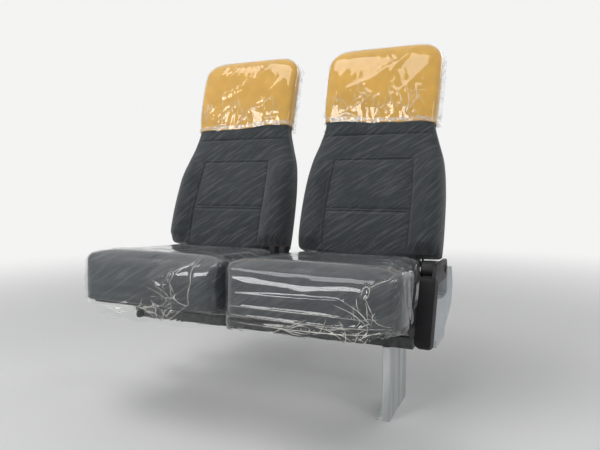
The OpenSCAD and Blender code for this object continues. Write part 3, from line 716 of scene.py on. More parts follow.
print("a back is", round(2 * section(0.22, 1) * BACK_HALF, 3), "m wide at its bolsters")

# %% [markdown]
# ## Letting cloth settle
# Blender's cloth simulation does what an upholsterer does: it pulls the fabric between its seams and
# lets the foam swell it. Points in the pin group stay put. A cap on the distance keeps the result
# close to the foam. A growing cloth, with a negative shrink, buckles into the wrinkles of film.

# %% Cloth helper


def settle(piece, pins, frames, cap, pressure=0.0, growth=0.0, stiffness=15.0, bending=0.5, gravity=0.0,
           colliders=(), distance=0.0015, mass=0.3):
    """Runs the cloth simulation on a piece and keeps its result. pins is one weight for each point."""
    start = points_of(piece)
    group = piece.vertex_groups.new(name="pins")
    for i, weight in enumerate(pins):
        if weight > 0:
            group.add([i], float(weight), "REPLACE")
    hits = []
    for other in colliders:
        hit = other.modifiers.new("hit", "COLLISION")
        other.collision.thickness_outer = distance
        other.collision.cloth_friction = 2.0
        hits.append((other, hit))
    cloth = piece.modifiers.new("cloth", "CLOTH")
    made = cloth.settings
    made.quality, made.mass, made.time_scale = 6, mass, 1.0
    made.tension_stiffness = made.compression_stiffness = stiffness
    made.shear_stiffness, made.bending_stiffness = stiffness / 2, bending
    made.air_damping = 2.0
    made.vertex_group_mass = "pins"
    made.use_pressure, made.uniform_pressure_force = pressure != 0, pressure
    made.shrink_min = -growth
    made.effector_weights.gravity = gravity
    cloth.collision_settings.use_collision = bool(colliders)
    cloth.collision_settings.distance_min = distance
    cloth.collision_settings.use_self_collision = False
    cloth.point_cache.frame_start, cloth.point_cache.frame_end = 1, frames
    for step in range(1, frames + 1):
        scene.frame_set(step)
    depsgraph = bpy.context.evaluated_depsgraph_get()
    done = piece.evaluated_get(depsgraph)
    settled = np.empty(len(start) * 3, np.float32)
    done.to_mesh().vertices.foreach_get("co", settled)
    done.to_mesh_clear()
    moved = settled.reshape(-1, 3) - start
    far = np.linalg.norm(moved, axis=1, keepdims=True)
    moved *= np.minimum(1, cap / np.maximum(far, 1e-9))
    piece.modifiers.remove(cloth)
    for other, hit in hits:
        other.modifiers.remove(hit)
    move_points(piece, start + moved)
    scene.frame_set(1)
    print(piece.name, "settled by up to", round(float(np.linalg.norm(moved, axis=1).max()) * 1000, 1), "mm")
    return piece


# %% [markdown]
# ## Back pads
# A back pad is foam in a sewn cover: a centre panel between two upright seams, a panel for the
# shoulders, and the head. Rows and columns of the grid run along the seams, which are drawn in as
# grooves, and then pressure swells the panels between them.

# %% Back pads
SEAM_SHARE, SEAM_TOP, SHOULDER_SEAM, WAIST_SEAM = 0.59, 0.341, 0.422, 0.181
LEVEL_SEAMS = (WAIST_SEAM - 0.004, WAIST_SEAM + 0.004, SEAM_TOP, SHOULDER_SEAM)
GROOVE_DEPTH, GROOVE_WIDTH, CLOTH_OUT = 0.0042, 0.0028, 0.0012
UNDERSIDE_HALF, CORNER, PAD_REAR, COVER_EDGE = 0.154, 0.014, 0.0025, 0.445


def pad_heights():
    rows = list(np.linspace(BOLSTER_START + 0.016, BACK_LENGTH - CROWN, 118))
    rows = [v for v in rows if min(abs(v - s) for s in LEVEL_SEAMS) > 0.0042]
    for seam in LEVEL_SEAMS:
        rows += [seam - 0.003, seam - 0.0012, seam, seam + 0.0012, seam + 0.003]
    return np.unique(np.round(rows, 5))


def seam_distance(u, v, half):
    """Distance from the nearest seam, in metres."""
    upright = np.where(v < SEAM_TOP + 0.001, np.abs(np.abs(u) - SEAM_SHARE * half), 1.0)
    inner = min(abs(v - s) for s in LEVEL_SEAMS[:3])
    across = np.where(np.abs(u) < SEAM_SHARE * half + 0.001, inner, 1.0)
    return np.minimum(np.minimum(upright, abs(v - SHOULDER_SEAM)), across)


PAD_CLOTH = {}


def lay_pad_cloth(piece, side):
    """Lays the cloth so that its streaks rise to the right, and steeper on the two side panels."""
    flat, turn = PAD_CLOTH["flat"] * (SIDES[side], 1), PAD_CLOTH["turn"]
    laid = np.stack([flat[:, 0] * np.cos(turn) - flat[:, 1] * np.sin(turn),
                     flat[:, 0] * np.sin(turn) + flat[:, 1] * np.cos(turn)], axis=-1)
    laid[:, 0] += 0.37 * SIDES[side]
    for loop in piece.data.loops:
        piece.data.uv_layers["cloth"].data[loop.index].uv = laid[loop.vertex_index]


def back_pad(side):
    shares = across_front(SEAM_SHARE)
    rows, flat, turns, pins = [], [], [], []

    def add(v, front, edge, held=1.0, edge_held=1.0):
        """One ring: a front line between two edges of three points, and the flat rear."""
        line = np.concatenate([edge[::-1] * (-1, 1, 1), front, edge])
        run = np.concatenate([[0], np.cumsum(np.linalg.norm(np.diff(line, axis=0), axis=1))])
        rear = np.linspace(line[-1], line[0], len(shares) + 2)[1:-1]
        rows.append(np.concatenate([line, rear]))
        along = np.concatenate([run - run[-1] / 2, rear[:, 0]])
        flat.append(np.stack([along, np.full(len(along), v)], axis=-1))
        side_panel = np.concatenate([np.ones(3), np.abs(shares) > SEAM_SHARE + 0.004, np.ones(3 + len(rear))])
        turns.append(np.radians(-17) * side_panel * (v < SEAM_TOP))
        ends = np.full(3, edge_held)
        pins.append(np.concatenate([ends, held * np.ones(len(front)), ends, np.ones(len(rear))]))

    for v in (PAD_START, PAD_START + 0.004, PAD_START + 0.014, BOLSTER_START - 0.001):
        inward = 0.006 if v == PAD_START else 0.0
        half = UNDERSIDE_HALF - inward
        front = front_line(v, shares, -inward, 0.0, half)
        add(v, front, np.array([[half, PAD_REAR * x / 3 + front[0, 1] * (1 - x / 3), v] for x in (1, 2, 3)]))
    for v in (BOLSTER_START, BOLSTER_START + 0.0015, BOLSTER_START + 0.005, BOLSTER_START + 0.010):
        rise = v - BOLSTER_START
        full = back_limits(v, 0)[0]
        half = full - (CORNER - math.sqrt(CORNER**2 - (CORNER - rise)**2))
        add(v, front_line(v, shares, 0.0, 1.0, half), rear_line(v, PAD_REAR, 3) * (half / full, 1, 1))
    for v in pad_heights():
        front = front_line(v, shares)
        groove = np.exp(-(seam_distance(front[:, 0], v, back_limits(v, 0)[0]) / GROOVE_WIDTH)**2)
        under_cover = ease((v - COVER_EDGE) / 0.015)
        sunk = GROOVE_DEPTH * groove * (1 - under_cover) - CLOTH_OUT
        front[:, 1] += sunk * np.clip(1 - np.abs(shares)**6, 0, 1)
        add(v, front, rear_line(v, PAD_REAR, 3), np.maximum(np.clip(groove * 1.6 - 0.2, 0, 1), under_cover))
    for angle in (12, 24, 36, 48, 60, 70, 80, 88):
        v = BACK_LENGTH - CROWN + CROWN * math.sin(math.radians(angle))
        held = min(angle / 50, 1)
        add(v, front_line(v, shares), rear_line(v, PAD_REAR, 3), held, held)

    grid = back_place(side, np.array(rows))
    piece = grid_piece("back_pad_cloth_" + side, grid, np.array(flat), wrap=True)
    PAD_CLOTH.update(flat=np.array(flat).reshape(-1, 2), turn=np.concatenate(turns))
    lay_pad_cloth(piece, side)
    columns, across = grid.shape[1], len(shares)
    for first in (0, (len(rows) - 1) * columns):
        close_strip(piece, [first + 3 + k for k in range(across)],
                    [first + columns - 1 - k for k in range(across)])
        close_rings(piece, [first + k for k in (3, 2, 1, 0, columns - 1)],
                    [first + across + k for k in (2, 3, 4, 5, 6)])
    return settle(piece, np.concatenate(pins), 14, 0.006, pressure=3.0, stiffness=18, bending=2.0)


def mirrored(piece, name):
    """The same piece for the window seat, still with the aisle seat's cloth pattern."""
    twin = bpy.data.objects.new(name, piece.data.copy())
    scene.collection.objects.link(twin)
    points = points_of(twin)
    points[:, 0] = PIVOT["recline_aisle"].x + PIVOT["recline_window"].x - points[:, 0]
    move_points(twin, points)
    twin.data.flip_normals()
    return twin


def padded_pair(piece, stem, node, body, lay_cloth, levels):
    """Finishes the aisle seat's pad and makes the window seat's from it."""
    pair = {"aisle": piece, "window": mirrored(piece, stem + "_window")}
    lay_cloth(pair["window"], "window")
    for side, pad in pair.items():
        if levels:
            subdivided(pad, levels)
        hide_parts(node + "_" + side)
        finished(pad, "seat_fabric", body.replace("SIDE", side))
    return pair


back_pads = padded_pair(back_pad("aisle"), "back_pad_cloth", "back_pad", "backrest_SIDE", lay_pad_cloth, 0)
print("back pads:", {p.name: len(p.data.vertices) for p in back_pads.values()})

# %% [markdown]
# ## Top stitching
# Beside each seam runs a row of stitches in a lighter grey thread. Each stitch is a short bowed
# strand whose ends sink into the cloth. They are laid on the settled pad by looking for its surface
# from the front.

# %% Top stitching
THREAD = 0.00055


def stitch_lines():
    """Lines (u, v) beside the seams of an aisle back."""
    lines = [[(u, WAIST_SEAM - 0.011) for u in np.arange(-0.115, 0.115, 0.001)],
             [(u, SEAM_TOP + 0.007) for u in np.arange(-0.115, 0.115, 0.001)]]
    for hand in (-1, 1):
        lines.append([(hand * (SEAM_SHARE * back_limits(v, 0)[0] + 0.007), v)
                      for v in np.arange(BOLSTER_START + 0.03, SEAM_TOP - 0.004, 0.001)])
    return lines


def stitching(side):
    surface, inward = surface_of(back_pads[side]), rearward(side)
    points, faces = [], []
    for line in stitch_lines():
        for first in range(0, len(line) - 6, 6):
            path = []
            for k, sink in zip((0, 1, 3, 4), (0.0008, -0.0004, -0.0004, 0.0008)):
                start = Vector(back_place(side, [line[first + k][0], -0.25, line[first + k][1]]))
                hit = surface.ray_cast(start, inward)[0]
                if hit is None:
                    break
                path.append(hit + inward * sink)
            if len(path) < 4:
                continue
            along = (path[-1] - path[0]).normalized()
            aside = along.cross(inward)
            base = len(points)
            for at in path:
                points += [at + (aside * math.cos(a) + inward * math.sin(a)) * THREAD
                           for a in (0.3, 1.6, 2.8, 4.1, 5.4)]
            for j in range(3):
                for k in range(5):
                    a, b = base + 5 * j + k, base + 5 * j + (k + 1) % 5
                    faces.append((a, b, b + 5, a + 5))
    piece = new_piece("stitching_" + side, points, faces)
    return finished(piece, "thread", "backrest_" + side)


top_stitching = {side: stitching(side) for side in SIDES}
print("stitches:", {side: len(p.data.polygons) // 15 for side, p in top_stitching.items()})

# %% [markdown]
# ## Rear shells
# Behind the foam is a thin moulded shell. The frame's shell has few faces, so this piece draws the
# same form finely, with a rolled front rim.

# %% Rear shells


def rear_shell(side):
    heights = [(BOLSTER_START, -0.006), (BOLSTER_START + 0.0015, -0.0025), (BOLSTER_START + 0.005, 0.0)]
    heights += [(v, 0.0) for v in np.linspace(BOLSTER_START + 0.014, BACK_LENGTH - CROWN, 60)]
    heights += [(BACK_LENGTH - CROWN + CROWN * math.sin(math.radians(a)), 0.0)
                for a in (15, 30, 45, 60, 72, 82, 89)]
    rows = []
    for v, grow in heights:
        half, front, rear = back_limits(v, grow)
        middle, thick = (front + rear) / 2, (rear - front) / 2
        start = min((0.003 - middle) / thick, 0.8)
        rise = np.linspace(start, 0.89, 9)
        edge = np.stack([squircle(rise) * half, middle + rise * thick], axis=-1)
        inner = np.linspace(edge[-1, 0] / half, 0, 16)[1:]
        line = np.concatenate([edge, np.stack([inner * half, middle + thick * squircle(inner)], axis=-1)])
        line = np.concatenate([line[:1] - (0.004, 0), line])
        line = np.concatenate([line, line[-2::-1] * (-1, 1)])
        rows.append(np.column_stack([line, np.full(len(line), v)]))
    grid = back_place(side, np.array(rows))
    piece = grid_piece("rear_shell_" + side, grid, flip=SIDES[side] > 0)
    columns = grid.shape[1]
    last = (len(rows) - 1) * columns
    close_rings(piece, list(range(columns)), [last + k for k in range(columns)])
    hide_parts("back_shell_" + side)
    return finished(piece, "plastic_shell", "backrest_" + side)


rear_shells = [rear_shell(side) for side in SIDES]
print("rear shells:", [len(shell.data.polygons) for shell in rear_shells], "faces")

# %% [markdown]
# ## Creases in film
# The simulation gives a film its loose waves. The sharp creases, where film is pinched or stretched,
# are drawn: each is a line of points on the flat face, with a height and a width. The film is raised
# along it, and on the sharpest lines lies a narrow pleat, where the film is doubled; the pleat is
# painted white as the highlight of the crease.

# %% Creases


def raised_along(lines, flat):
    """How far each flat point (n, 2) is raised by crease lines of (points, height, width)."""
    raised = np.zeros(len(flat))
    for points, height, width in lines:
        points = np.asarray(points, float)
        total = np.linalg.norm(np.diff(points, axis=0), axis=1).sum()
        best, along, run = np.full(len(flat), 1e9), np.zeros(len(flat)), 0.0
        for a, b in zip(points[:-1], points[1:]):
            length = np.linalg.norm(b - a)
            t = np.clip(((flat - a) @ (b - a)) / length**2, 0, 1)
            gap = np.linalg.norm(flat - a - t[:, None] * (b - a), axis=1)
            nearer = gap < best
            best = np.where(nearer, gap, best)
            along = np.where(nearer, (run + t * length) / total, along)
            run += length
        taper = np.clip(4 * along * (1 - along), 0.15, 1)**0.5
        raised += height * taper * np.exp(-(best / width)**2)
    return raised


def rounded_path(points, spacing=0.002):
    """Even points along a line whose corners are cut three times."""
    path = np.asarray(points, float)
    for _ in range(3):
        cut = np.empty((2 * len(path) - 2, 2))
        cut[0::2] = 0.75 * path[:-1] + 0.25 * path[1:]
        cut[1::2] = 0.25 * path[:-1] + 0.75 * path[1:]
        path = np.concatenate([path[:1], cut, path[-1:]])
    run = np.concatenate([[0], np.cumsum(np.linalg.norm(np.diff(path, axis=0), axis=1))])
    even = np.linspace(0, run[-1], max(int(run[-1] / spacing), 6))
    return np.stack([np.interp(even, run, path[:, k]) for k in (0, 1)], axis=-1)


def pleats(name, film, lines, place, inward):
    """Narrow raised pleats on a film, one along each line. place turns a flat point into the room."""
    surface = surface_of(film)
    points, faces = [], []
    for line, height, width in lines:
        hits = [surface.ray_cast(Vector(place(x, y)) - inward * 0.25, inward)[0]
                for x, y in rounded_path(line)]
        if None in hits:
            continue
        base, last = len(points), len(hits) - 1
        for i, hit in enumerate(hits):
            taper = math.sin(math.pi * min(max(i / last, 0.02), 0.98))**0.6
            share = taper * (0.75 + 0.5 * noise(hit * 90))
            along = (hits[min(i + 1, last)] - hits[max(i - 1, 0)]).normalized()
            aside = along.cross(inward).normalized() * 0.36 * width * share
            foot = hit - inward * 0.0003
            points += [foot - aside, hit - inward * (0.0004 + 0.30 * height * share), foot + aside]
        faces += [(a, a + 1, a + 4, a + 3) for i in range(last) for a in (base + 3 * i, base + 3 * i + 1)]
    return new_piece(name, points, faces)


def random_place(rng):
    """A far place in the noise, so that no two pieces share their waves."""
    return Vector([rng.uniform(0, 50) for _ in range(3)])


def random_creases(seed, count, low, high, length, height, width, lean=None):
    """Short bent creases scattered in a rectangle of the flat face."""
    rng = random.Random(seed)
    lines = []
    for _ in range(count):
        x, y = rng.uniform(low[0], high[0]), rng.uniform(low[1], high[1])
        angle = rng.uniform(0, math.pi) if lean is None else rng.gauss(lean, 0.3)
        points = [(x, y)]
        for _ in range(3):
            angle += rng.gauss(0, 0.45)
            step = length * rng.uniform(0.25, 0.5)
            x, y = x + step * math.cos(angle), y + step * math.sin(angle)
            points.append((x, y))
        lines.append((points, height * rng.uniform(0.5, 1.1), width * rng.uniform(0.7, 1.3)))
    return lines


# %% [markdown]
# ## Headrest covers
# The cover is a cap of mustard cloth that is pulled over the head of the back, with a hem that is
# lower towards the aisle. It could be simulated, but it is stretched tight, so it simply takes the
# form of the back. Cover, film and folded hem each lie a little further out than the last.

# %% Headrest covers
COVER_OUT, FILM_OUT, HEM_OUT, HEM_WIDTH = 0.0022, 0.0050, 0.0062, 0.0115


def hem_height(u):
    """Height of the cover's hem: highest on the inner side, lowest towards the aisle."""
    return 0.470 - 0.012 * ease((u + 0.14) / 0.17) + 0.001 * np.sin(u * 60)


def whole_ring(v, grow, count):
    """A closed ring of a back's section, front and rear, with even steps, and its length."""
    half, front, rear = back_limits(min(v, BACK_LENGTH + grow - 1e-5), grow)
    middle, thick = (front + rear) / 2, (rear - front) / 2
    angle = np.linspace(0, math.tau, 721)
    u = np.sign(np.sin(angle)) * np.abs(np.sin(angle))**0.5 * half
    w = middle - np.sign(np.cos(angle)) * thick * squircle(np.abs(u) / half)
    run = np.concatenate([[0], np.cumsum(np.hypot(np.diff(u), np.diff(w)))])
    even = np.linspace(0, run[-1], count + 1)[:-1]
    return np.stack([np.interp(even, run, u), np.interp(even, run, w)], axis=-1), run[-1]


def ring_at(heights, grows, count):
    """A ring whose every point has its own height and growth."""
    line = [whole_ring(v, grow, count)[0][i] for i, (v, grow) in enumerate(zip(heights, grows))]
    return np.column_stack([line, heights])


def head_cap(side, name, grow, hem, columns, step):
    """A cap of cloth over the head of a back. hem gives the height of its edge at each u."""
    base, girth = whole_ring(0.56, grow, columns)
    low = hem(base[:, 0])
    count = int((BACK_LENGTH - CROWN - low.mean()) / step)
    rows, flat = [], []
    for j in range(count + 1):
        heights = low + (BACK_LENGTH - CROWN - low) * j / count
        rows.append(ring_at(heights, [grow] * columns, columns))
        flat.append(heights)
    for angle in np.linspace(0, 86, int(CROWN * 1.4 / step))[1:]:
        v = BACK_LENGTH - CROWN + (CROWN + grow) * math.sin(math.radians(angle))
        rows.append(np.column_stack([whole_ring(v, grow, columns)[0], np.full(columns, v)]))
        flat.append(np.full(columns, v))
    top, middle = rows[-1], rows[-1][:, :2].mean(0)
    for share in (0.8, 0.6, 0.4, 0.2, 0.04):
        line = top.copy()
        line[:, 1] = middle[1] + (top[:, 1] - middle[1]) * share
        line[:, 0] = middle[0] + (top[:, 0] - middle[0]) * (0.72 + 0.28 * share)
        line[:, 2] += 0.004 * (1 - share**2)
        rows.append(line)
        flat.append(flat[-1] + 0.008)
    along = np.linspace(0, girth, columns, endpoint=False)
    pattern = np.stack([np.broadcast_to(along, (len(rows), columns)), np.array(flat)], axis=-1)
    piece = grid_piece(name, back_place(side, np.array(rows)), pattern, wrap=True, flip=SIDES[side] < 0)
    last, quarter = (len(rows) - 1) * columns, columns // 4
    close_strip(piece, [last + k % columns for k in range(-quarter, quarter + 1)],
                [last + (columns // 2 - k) % columns for k in range(-quarter, quarter + 1)])
    return piece, girth, len(rows)


def headrest_cover(side):
    piece, girth, _ = head_cap(side, "headrest_cloth_" + side, COVER_OUT, hem_height, 120, 0.006)
    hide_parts("headrest_cover_" + side)
    subdivided(piece)
    return finished(piece, "cover_fabric", "backrest_" + side)


headrest_covers = {side: headrest_cover(side) for side in SIDES}
print("covers:", {side: len(cover.data.vertices) for side, cover in headrest_covers.items()}, "points")

# %% [markdown]
# ## Film over the headrests
# The film is a bag over the cover. It starts with small waves, and grows a little in the simulation
# while its top is held, so that it buckles against the cover. The lines below are then raised on it,
# with short creases scattered near the hem, where the bag was pulled down.

# %% Headrest film
LOOSE_FILM = {"growth": 0.03, "stiffness": 6, "bending": 0.02, "mass": 0.1}
HEAD_CREASES = [
    ([(0.105, 0.708), (0.06, 0.65), (0.018, 0.597)], 0.0042, 0.008),
    ([(0.06, 0.66), (-0.02, 0.60), (-0.11, 0.565)], 0.0034, 0.010),
    ([(0.14, 0.63), (0.08, 0.56), (0.03, 0.53)], 0.0026, 0.007),
    ([(-0.09, 0.70), (-0.11, 0.64), (-0.13, 0.60)], 0.0026, 0.008),
    ([(-0.149, 0.50), (-0.140, 0.565), (-0.130, 0.52), (-0.121, 0.56), (-0.118, 0.50)], 0.0032, 0.0028),
    ([(-0.102, 0.499), (-0.064, 0.541), (-0.02, 0.554)], 0.0032, 0.0026),
    ([(-0.02, 0.554), (-0.045, 0.52), (-0.085, 0.497)], 0.0028, 0.0024),
    ([(-0.008, 0.538), (-0.014, 0.512), (-0.006, 0.494)], 0.0030, 0.0030),
    ([(0.008, 0.533), (0.002, 0.503), (0.012, 0.476)], 0.0030, 0.0028),
    ([(0.026, 0.530), (0.020, 0.505), (0.034, 0.480), (0.046, 0.500)], 0.0030, 0.0026),
    ([(0.085, 0.567), (0.100, 0.52), (0.092, 0.485), (0.118, 0.462)], 0.0034, 0.0032),
    ([(0.112, 0.567), (0.122, 0.53), (0.108, 0.50), (0.130, 0.470)], 0.0034, 0.0030),
]
BROAD_CREASES = 4      # the first ones have no pleat


def headrest_film(side):
    columns, low_corner = 140, (-0.15, 0.465)
    shift = random_place(random.Random(7 if side == "aisle" else 23))
    piece, girth, rows = head_cap(side, "headrest_wrap_" + side, FILM_OUT,
                                  lambda u: hem_height(u) + 0.004, columns, 0.005)
    points, out = points_of(piece), normals_of(piece)
    for i, (x, y, z) in enumerate(points):
        low = 1 - min(max((z - 0.84) / 0.14, 0), 1)
        broad = noise(Vector((x * 9 + z * 7, y * 6, z * 3)) + shift)
        fine = 0.5 - abs(noise(Vector((x * 34, y * 30, z * 24)) + shift * 2))
        points[i] += out[i] * (0.0018 * broad + 0.0022 * fine * low)
    move_points(piece, points)
    pins = [1.0 if i // columns > rows - 9 else 0.0 for i in range(len(piece.data.vertices))]
    settle(piece, pins, 12, 0.008, gravity=0.3, colliders=[headrest_covers[side]], distance=0.0012,
           **LOOSE_FILM)

    x, y, z = (points_of(piece) - np.array(PIVOT["recline_" + side])).T
    v, w = y * math.sin(RAKE) + z * math.cos(RAKE), y * math.cos(RAKE) - z * math.sin(RAKE)
    face = np.stack([x, v], axis=-1)
    front = HEAD_CREASES + random_creases(
        3 + (side == "window"), 26, low_corner, (0.15, 0.545), 0.05, 0.0024, 0.0028)
    rear = random_creases(9, 22, low_corner, (0.15, 0.64), 0.06, 0.0022, 0.0035)
    rise = raised_along(front, face) * (w < -0.03) + raised_along(rear, face) * (w > -0.03)
    move_points(piece, points_of(piece) + normals_of(piece) * rise[:, None])
    # Pleats on the sharpest creases, painted white as their highlights.
    folds = pleats("headrest_pleats_" + side, piece, front[BROAD_CREASES:],
                   lambda x, y: back_place(side, [SIDES[side] * x, 0, y]), rearward(side))
    finished(folds, "pleated_film", "backrest_" + side)
    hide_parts("headrest_film_" + side)
    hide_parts("headrest_film_" + side)
    return finished(piece, "clear_film", "backrest_" + side)


headrest_films = [headrest_film(side) for side in SIDES]
print("films:", [round(area_of(film), 3) for film in headrest_films], "m2")

# %% [markdown]
# ## Welds and hem of the bag
# Down both sides the bag's front and rear are welded, and a fin of doubled film stands off there. It
# is a strip that noise bends. Below, the film is folded to a hem, a narrow band round the back. Both
# are thin and stiff for their size, so they are drawn and need no simulation.

# %% Welded edges and hem
WELD_FROM, WELD_TO, WELD_WIDTH = 0.452, 0.702, 0.013


def welded_edge(side, hand):
    """The flat fin where the bag's front and rear film are welded together, down one side."""
    shift = random_place(random.Random(50 + hand + 7 * SIDES[side]))

    def wave(x, y, z):
        return noise(Vector((x, y, z)) + shift)

    rows = []
    for v in np.linspace(WELD_FROM, WELD_TO, 90):
        half, front, rear = back_limits(v, FILM_OUT)
        width, middle = WELD_WIDTH + 0.004 * wave(v * 40, 0, 9), (front + rear) / 2 + 0.012
        rows.append([(hand * (half - 0.002 + width * t),
                      middle + 0.006 * t * wave(v * 55, t * 1.5, 0) + 0.0025 * wave(v * 190, t * 3, 5), v)
                     for t in np.linspace(0, 1, 9)])
    piece = grid_piece(f"weld_{'right' if hand > 0 else 'left'}_{side}", back_place(side, np.array(rows)))
    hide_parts("headrest_film_" + side)
    return finished(piece, "welded_film", "backrest_" + side)


welded_edges = [welded_edge(side, hand) for side in SIDES for hand in (-1, 1)]


def film_hem(side):
    """The folded hem of the bag, a narrow milky band with painted highlights on its creases, that dips with the
    hem of the cover.
    """
    count = 160
    base, girth = whole_ring(0.56, 0.0066, count)
    low, number = hem_height(base[:, 0]) + 0.001, np.arange(count)
    rows = [ring_at(low + HEM_WIDTH * t + 0.0012 * np.sin(number * 0.55),
                    HEM_OUT + 0.0012 * np.sin(number * 0.9 + t), count) for t in np.linspace(0, 1, 4)]
    piece = grid_piece("film_hem_" + side, back_place(side, np.array(rows)), wrap=True)
    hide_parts("headrest_film_" + side)
    return finished(piece, "welded_film", "backrest_" + side)


film_hems = [film_hem(side) for side in SIDES]
print("welded edges and hems:", [piece.name for piece in welded_edges + film_hems])

# %% [markdown]
# ## Seat cushions
# The cushion is a block of foam in a cloth cover. The frame's block is remeshed into small even
# faces, and pressure makes its faces swell and its edges round, as foam does under tight cloth.

# %% Seat cushions
VOXEL = 0.006


def remeshed(node, name, grow):
    """A fresh mesh of even faces in the shape of a node."""
    piece = joined_copy(node, name)
    remesh = piece.modifiers.new("even", "REMESH")
    remesh.mode, remesh.voxel_size = "VOXEL", VOXEL
    keep_modifiers(piece)
    move_points(piece, points_of(piece) + normals_of(piece) * grow)
    piece.data.shade_smooth()
    return piece


def flat_pattern(piece, side):
    """Cloth coordinates for a block: each face takes the plane that it faces."""
    cloth = piece.data.uv_layers.get("cloth") or piece.data.uv_layers.new(name="cloth")
    middle = PIVOT["recline_" + side].x
    for face in piece.data.polygons:
        n = face.normal
        for index in face.loop_indices:
            x, y, z = piece.data.vertices[piece.data.loops[index].vertex_index].co
            u = x - middle + 0.41 * SIDES[side]
            if abs(n.z) >= max(abs(n.x), abs(n.y)):
                cloth.data[index].uv = (u, y)
            elif abs(n.y) >= abs(n.x):
                cloth.data[index].uv = (u, z - 0.8)
            else:
                cloth.data[index].uv = (y + 1.2, z)


def seat_cushion(side):
    piece = remeshed("cushion_" + side, "cushion_cloth_" + side, -0.002)
    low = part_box("cushion_" + side)[0].z
    pins = [1.0 if v.co.z < low + 0.012 else 0.0 for v in piece.data.vertices]
    settle(piece, pins, 14, 0.009, pressure=3.5, stiffness=15, bending=2.0)
    flat_pattern(piece, side)
    return piece


cushions = padded_pair(seat_cushion("aisle"), "cushion_cloth", "cushion", "base", flat_pattern, 1)

# %% [markdown]
# ## Film over the cushions
# The film is a loose bag over the cushion. Its front hangs a little below the foam, and its edge is
# gathered at the corner beside the armrest, where the creases meet. They are lines (u, z) on the
# front and (u, y) on the top.

# %% Lines of the cushion film's creases
FRONT_CREASES = [
    ([(-0.21, 0.382), (-0.02, 0.386), (0.075, 0.388), (0.118, 0.384)], 0.0046, 0.0050),
    ([(0.085, 0.388), (0.118, 0.372), (0.145, 0.343)], 0.0036, 0.0030),
    ([(0.060, 0.380), (0.105, 0.366), (0.140, 0.338)], 0.0030, 0.0026),
    ([(-0.22, 0.354), (-0.02, 0.355), (0.145, 0.352)], 0.0040, 0.0034),
    ([(-0.22, 0.334), (0.05, 0.329), (0.186, 0.338)], 0.0040, 0.0032),
    ([(-0.20, 0.316), (0.02, 0.314), (0.15, 0.322), (0.188, 0.338)], 0.0036, 0.0036),
    ([(0.119, 0.400), (0.128, 0.426), (0.141, 0.420), (0.136, 0.398), (0.121, 0.398)], 0.0034, 0.0026),
    ([(0.136, 0.420), (0.160, 0.434), (0.176, 0.438), (0.190, 0.452)], 0.0032, 0.0024),
    ([(0.145, 0.372), (0.152, 0.352), (0.172, 0.343), (0.188, 0.342)], 0.0034, 0.0022),
    ([(0.200, 0.455), (0.190, 0.425), (0.196, 0.400), (0.186, 0.372), (0.188, 0.342)], 0.0050, 0.0036),
    ([(0.188, 0.342), (0.160, 0.312), (0.135, 0.285)], 0.0044, 0.0024),
    ([(0.190, 0.340), (0.170, 0.310), (0.150, 0.285)], 0.0040, 0.0022),
    ([(0.186, 0.344), (0.150, 0.318), (0.118, 0.290)], 0.0036, 0.0022),
]
FRONT_CREASES += random_creases(21, 16, (0.100, 0.300), (0.150, 0.372), 0.028, 0.0030, 0.0024)
FRONT_CREASES += random_creases(22, 14, (-0.21, 0.292), (0.10, 0.330), 0.050, 0.0026, 0.0034, 0.0)
TOP_CREASES = {
    side: random_creases(seed, 10, (0.165, -0.37), (0.205, -0.14), 0.05, 0.0034, 0.0032, math.pi / 2)
    + random_creases(seed + 1, 8, (-0.20, -0.36), (0.16, -0.10), 0.12, 0.0018, 0.006, 0.2)
    for side, seed in (("aisle", 31), ("window", 41))}
print("creases:", len(FRONT_CREASES), "in front,", len(TOP_CREASES["aisle"]), "on top")

# %% [markdown]
# ## The film in its place
# The film could be a flat sheet that falls over the cushion, but its corners would fold differently
# each time the cushion changes. So it starts as the cushion's own surface, a little larger, without
# its underside and rear. Its front edge is let down, gathered, and then left to the simulation.

# %% Cushion film
HANG_STEPS, HANG_STEP = 6, 0.0056


def in_order(form):
    """Sorts edges and faces by their points: extruding leaves them in another order at each run."""
    form.verts.index_update()
    count = len(form.verts)

    def number(part):
        points = sorted(v.index for v in part.verts)
        return points[0] + points[1] * count + points[-1] * count**2

    form.edges.sort(key=number)
    form.faces.sort(key=number)


def hung_edge(piece, low, high):
    """Opens the film underneath and behind, and lets its front edge hang below the foam."""
    with opened(piece.data) as form:
        gone = [f for f in form.faces
                if f.normal.z < -0.6 or (f.normal.y > 0.6 and f.calc_center_median().y > high.y - 0.006)]
        bmesh.ops.delete(form, geom=gone, context="FACES")
        edges = [e for e in form.edges if e.is_boundary and max(v.co.y for v in e.verts) < low.y + 0.03
                 and max(v.co.z for v in e.verts) < low.z + 0.03]
        for _ in range(HANG_STEPS):
            made = bmesh.ops.extrude_edge_only(form, edges=edges)["geom"]
            bmesh.ops.translate(form, vec=(0, 0, -HANG_STEP),
                                verts=[g for g in made if isinstance(g, bmesh.types.BMVert)])
            edges = [g for g in made if isinstance(g, bmesh.types.BMEdge)]
        in_order(form)
        bmesh.ops.recalc_face_normals(form, faces=form.faces)


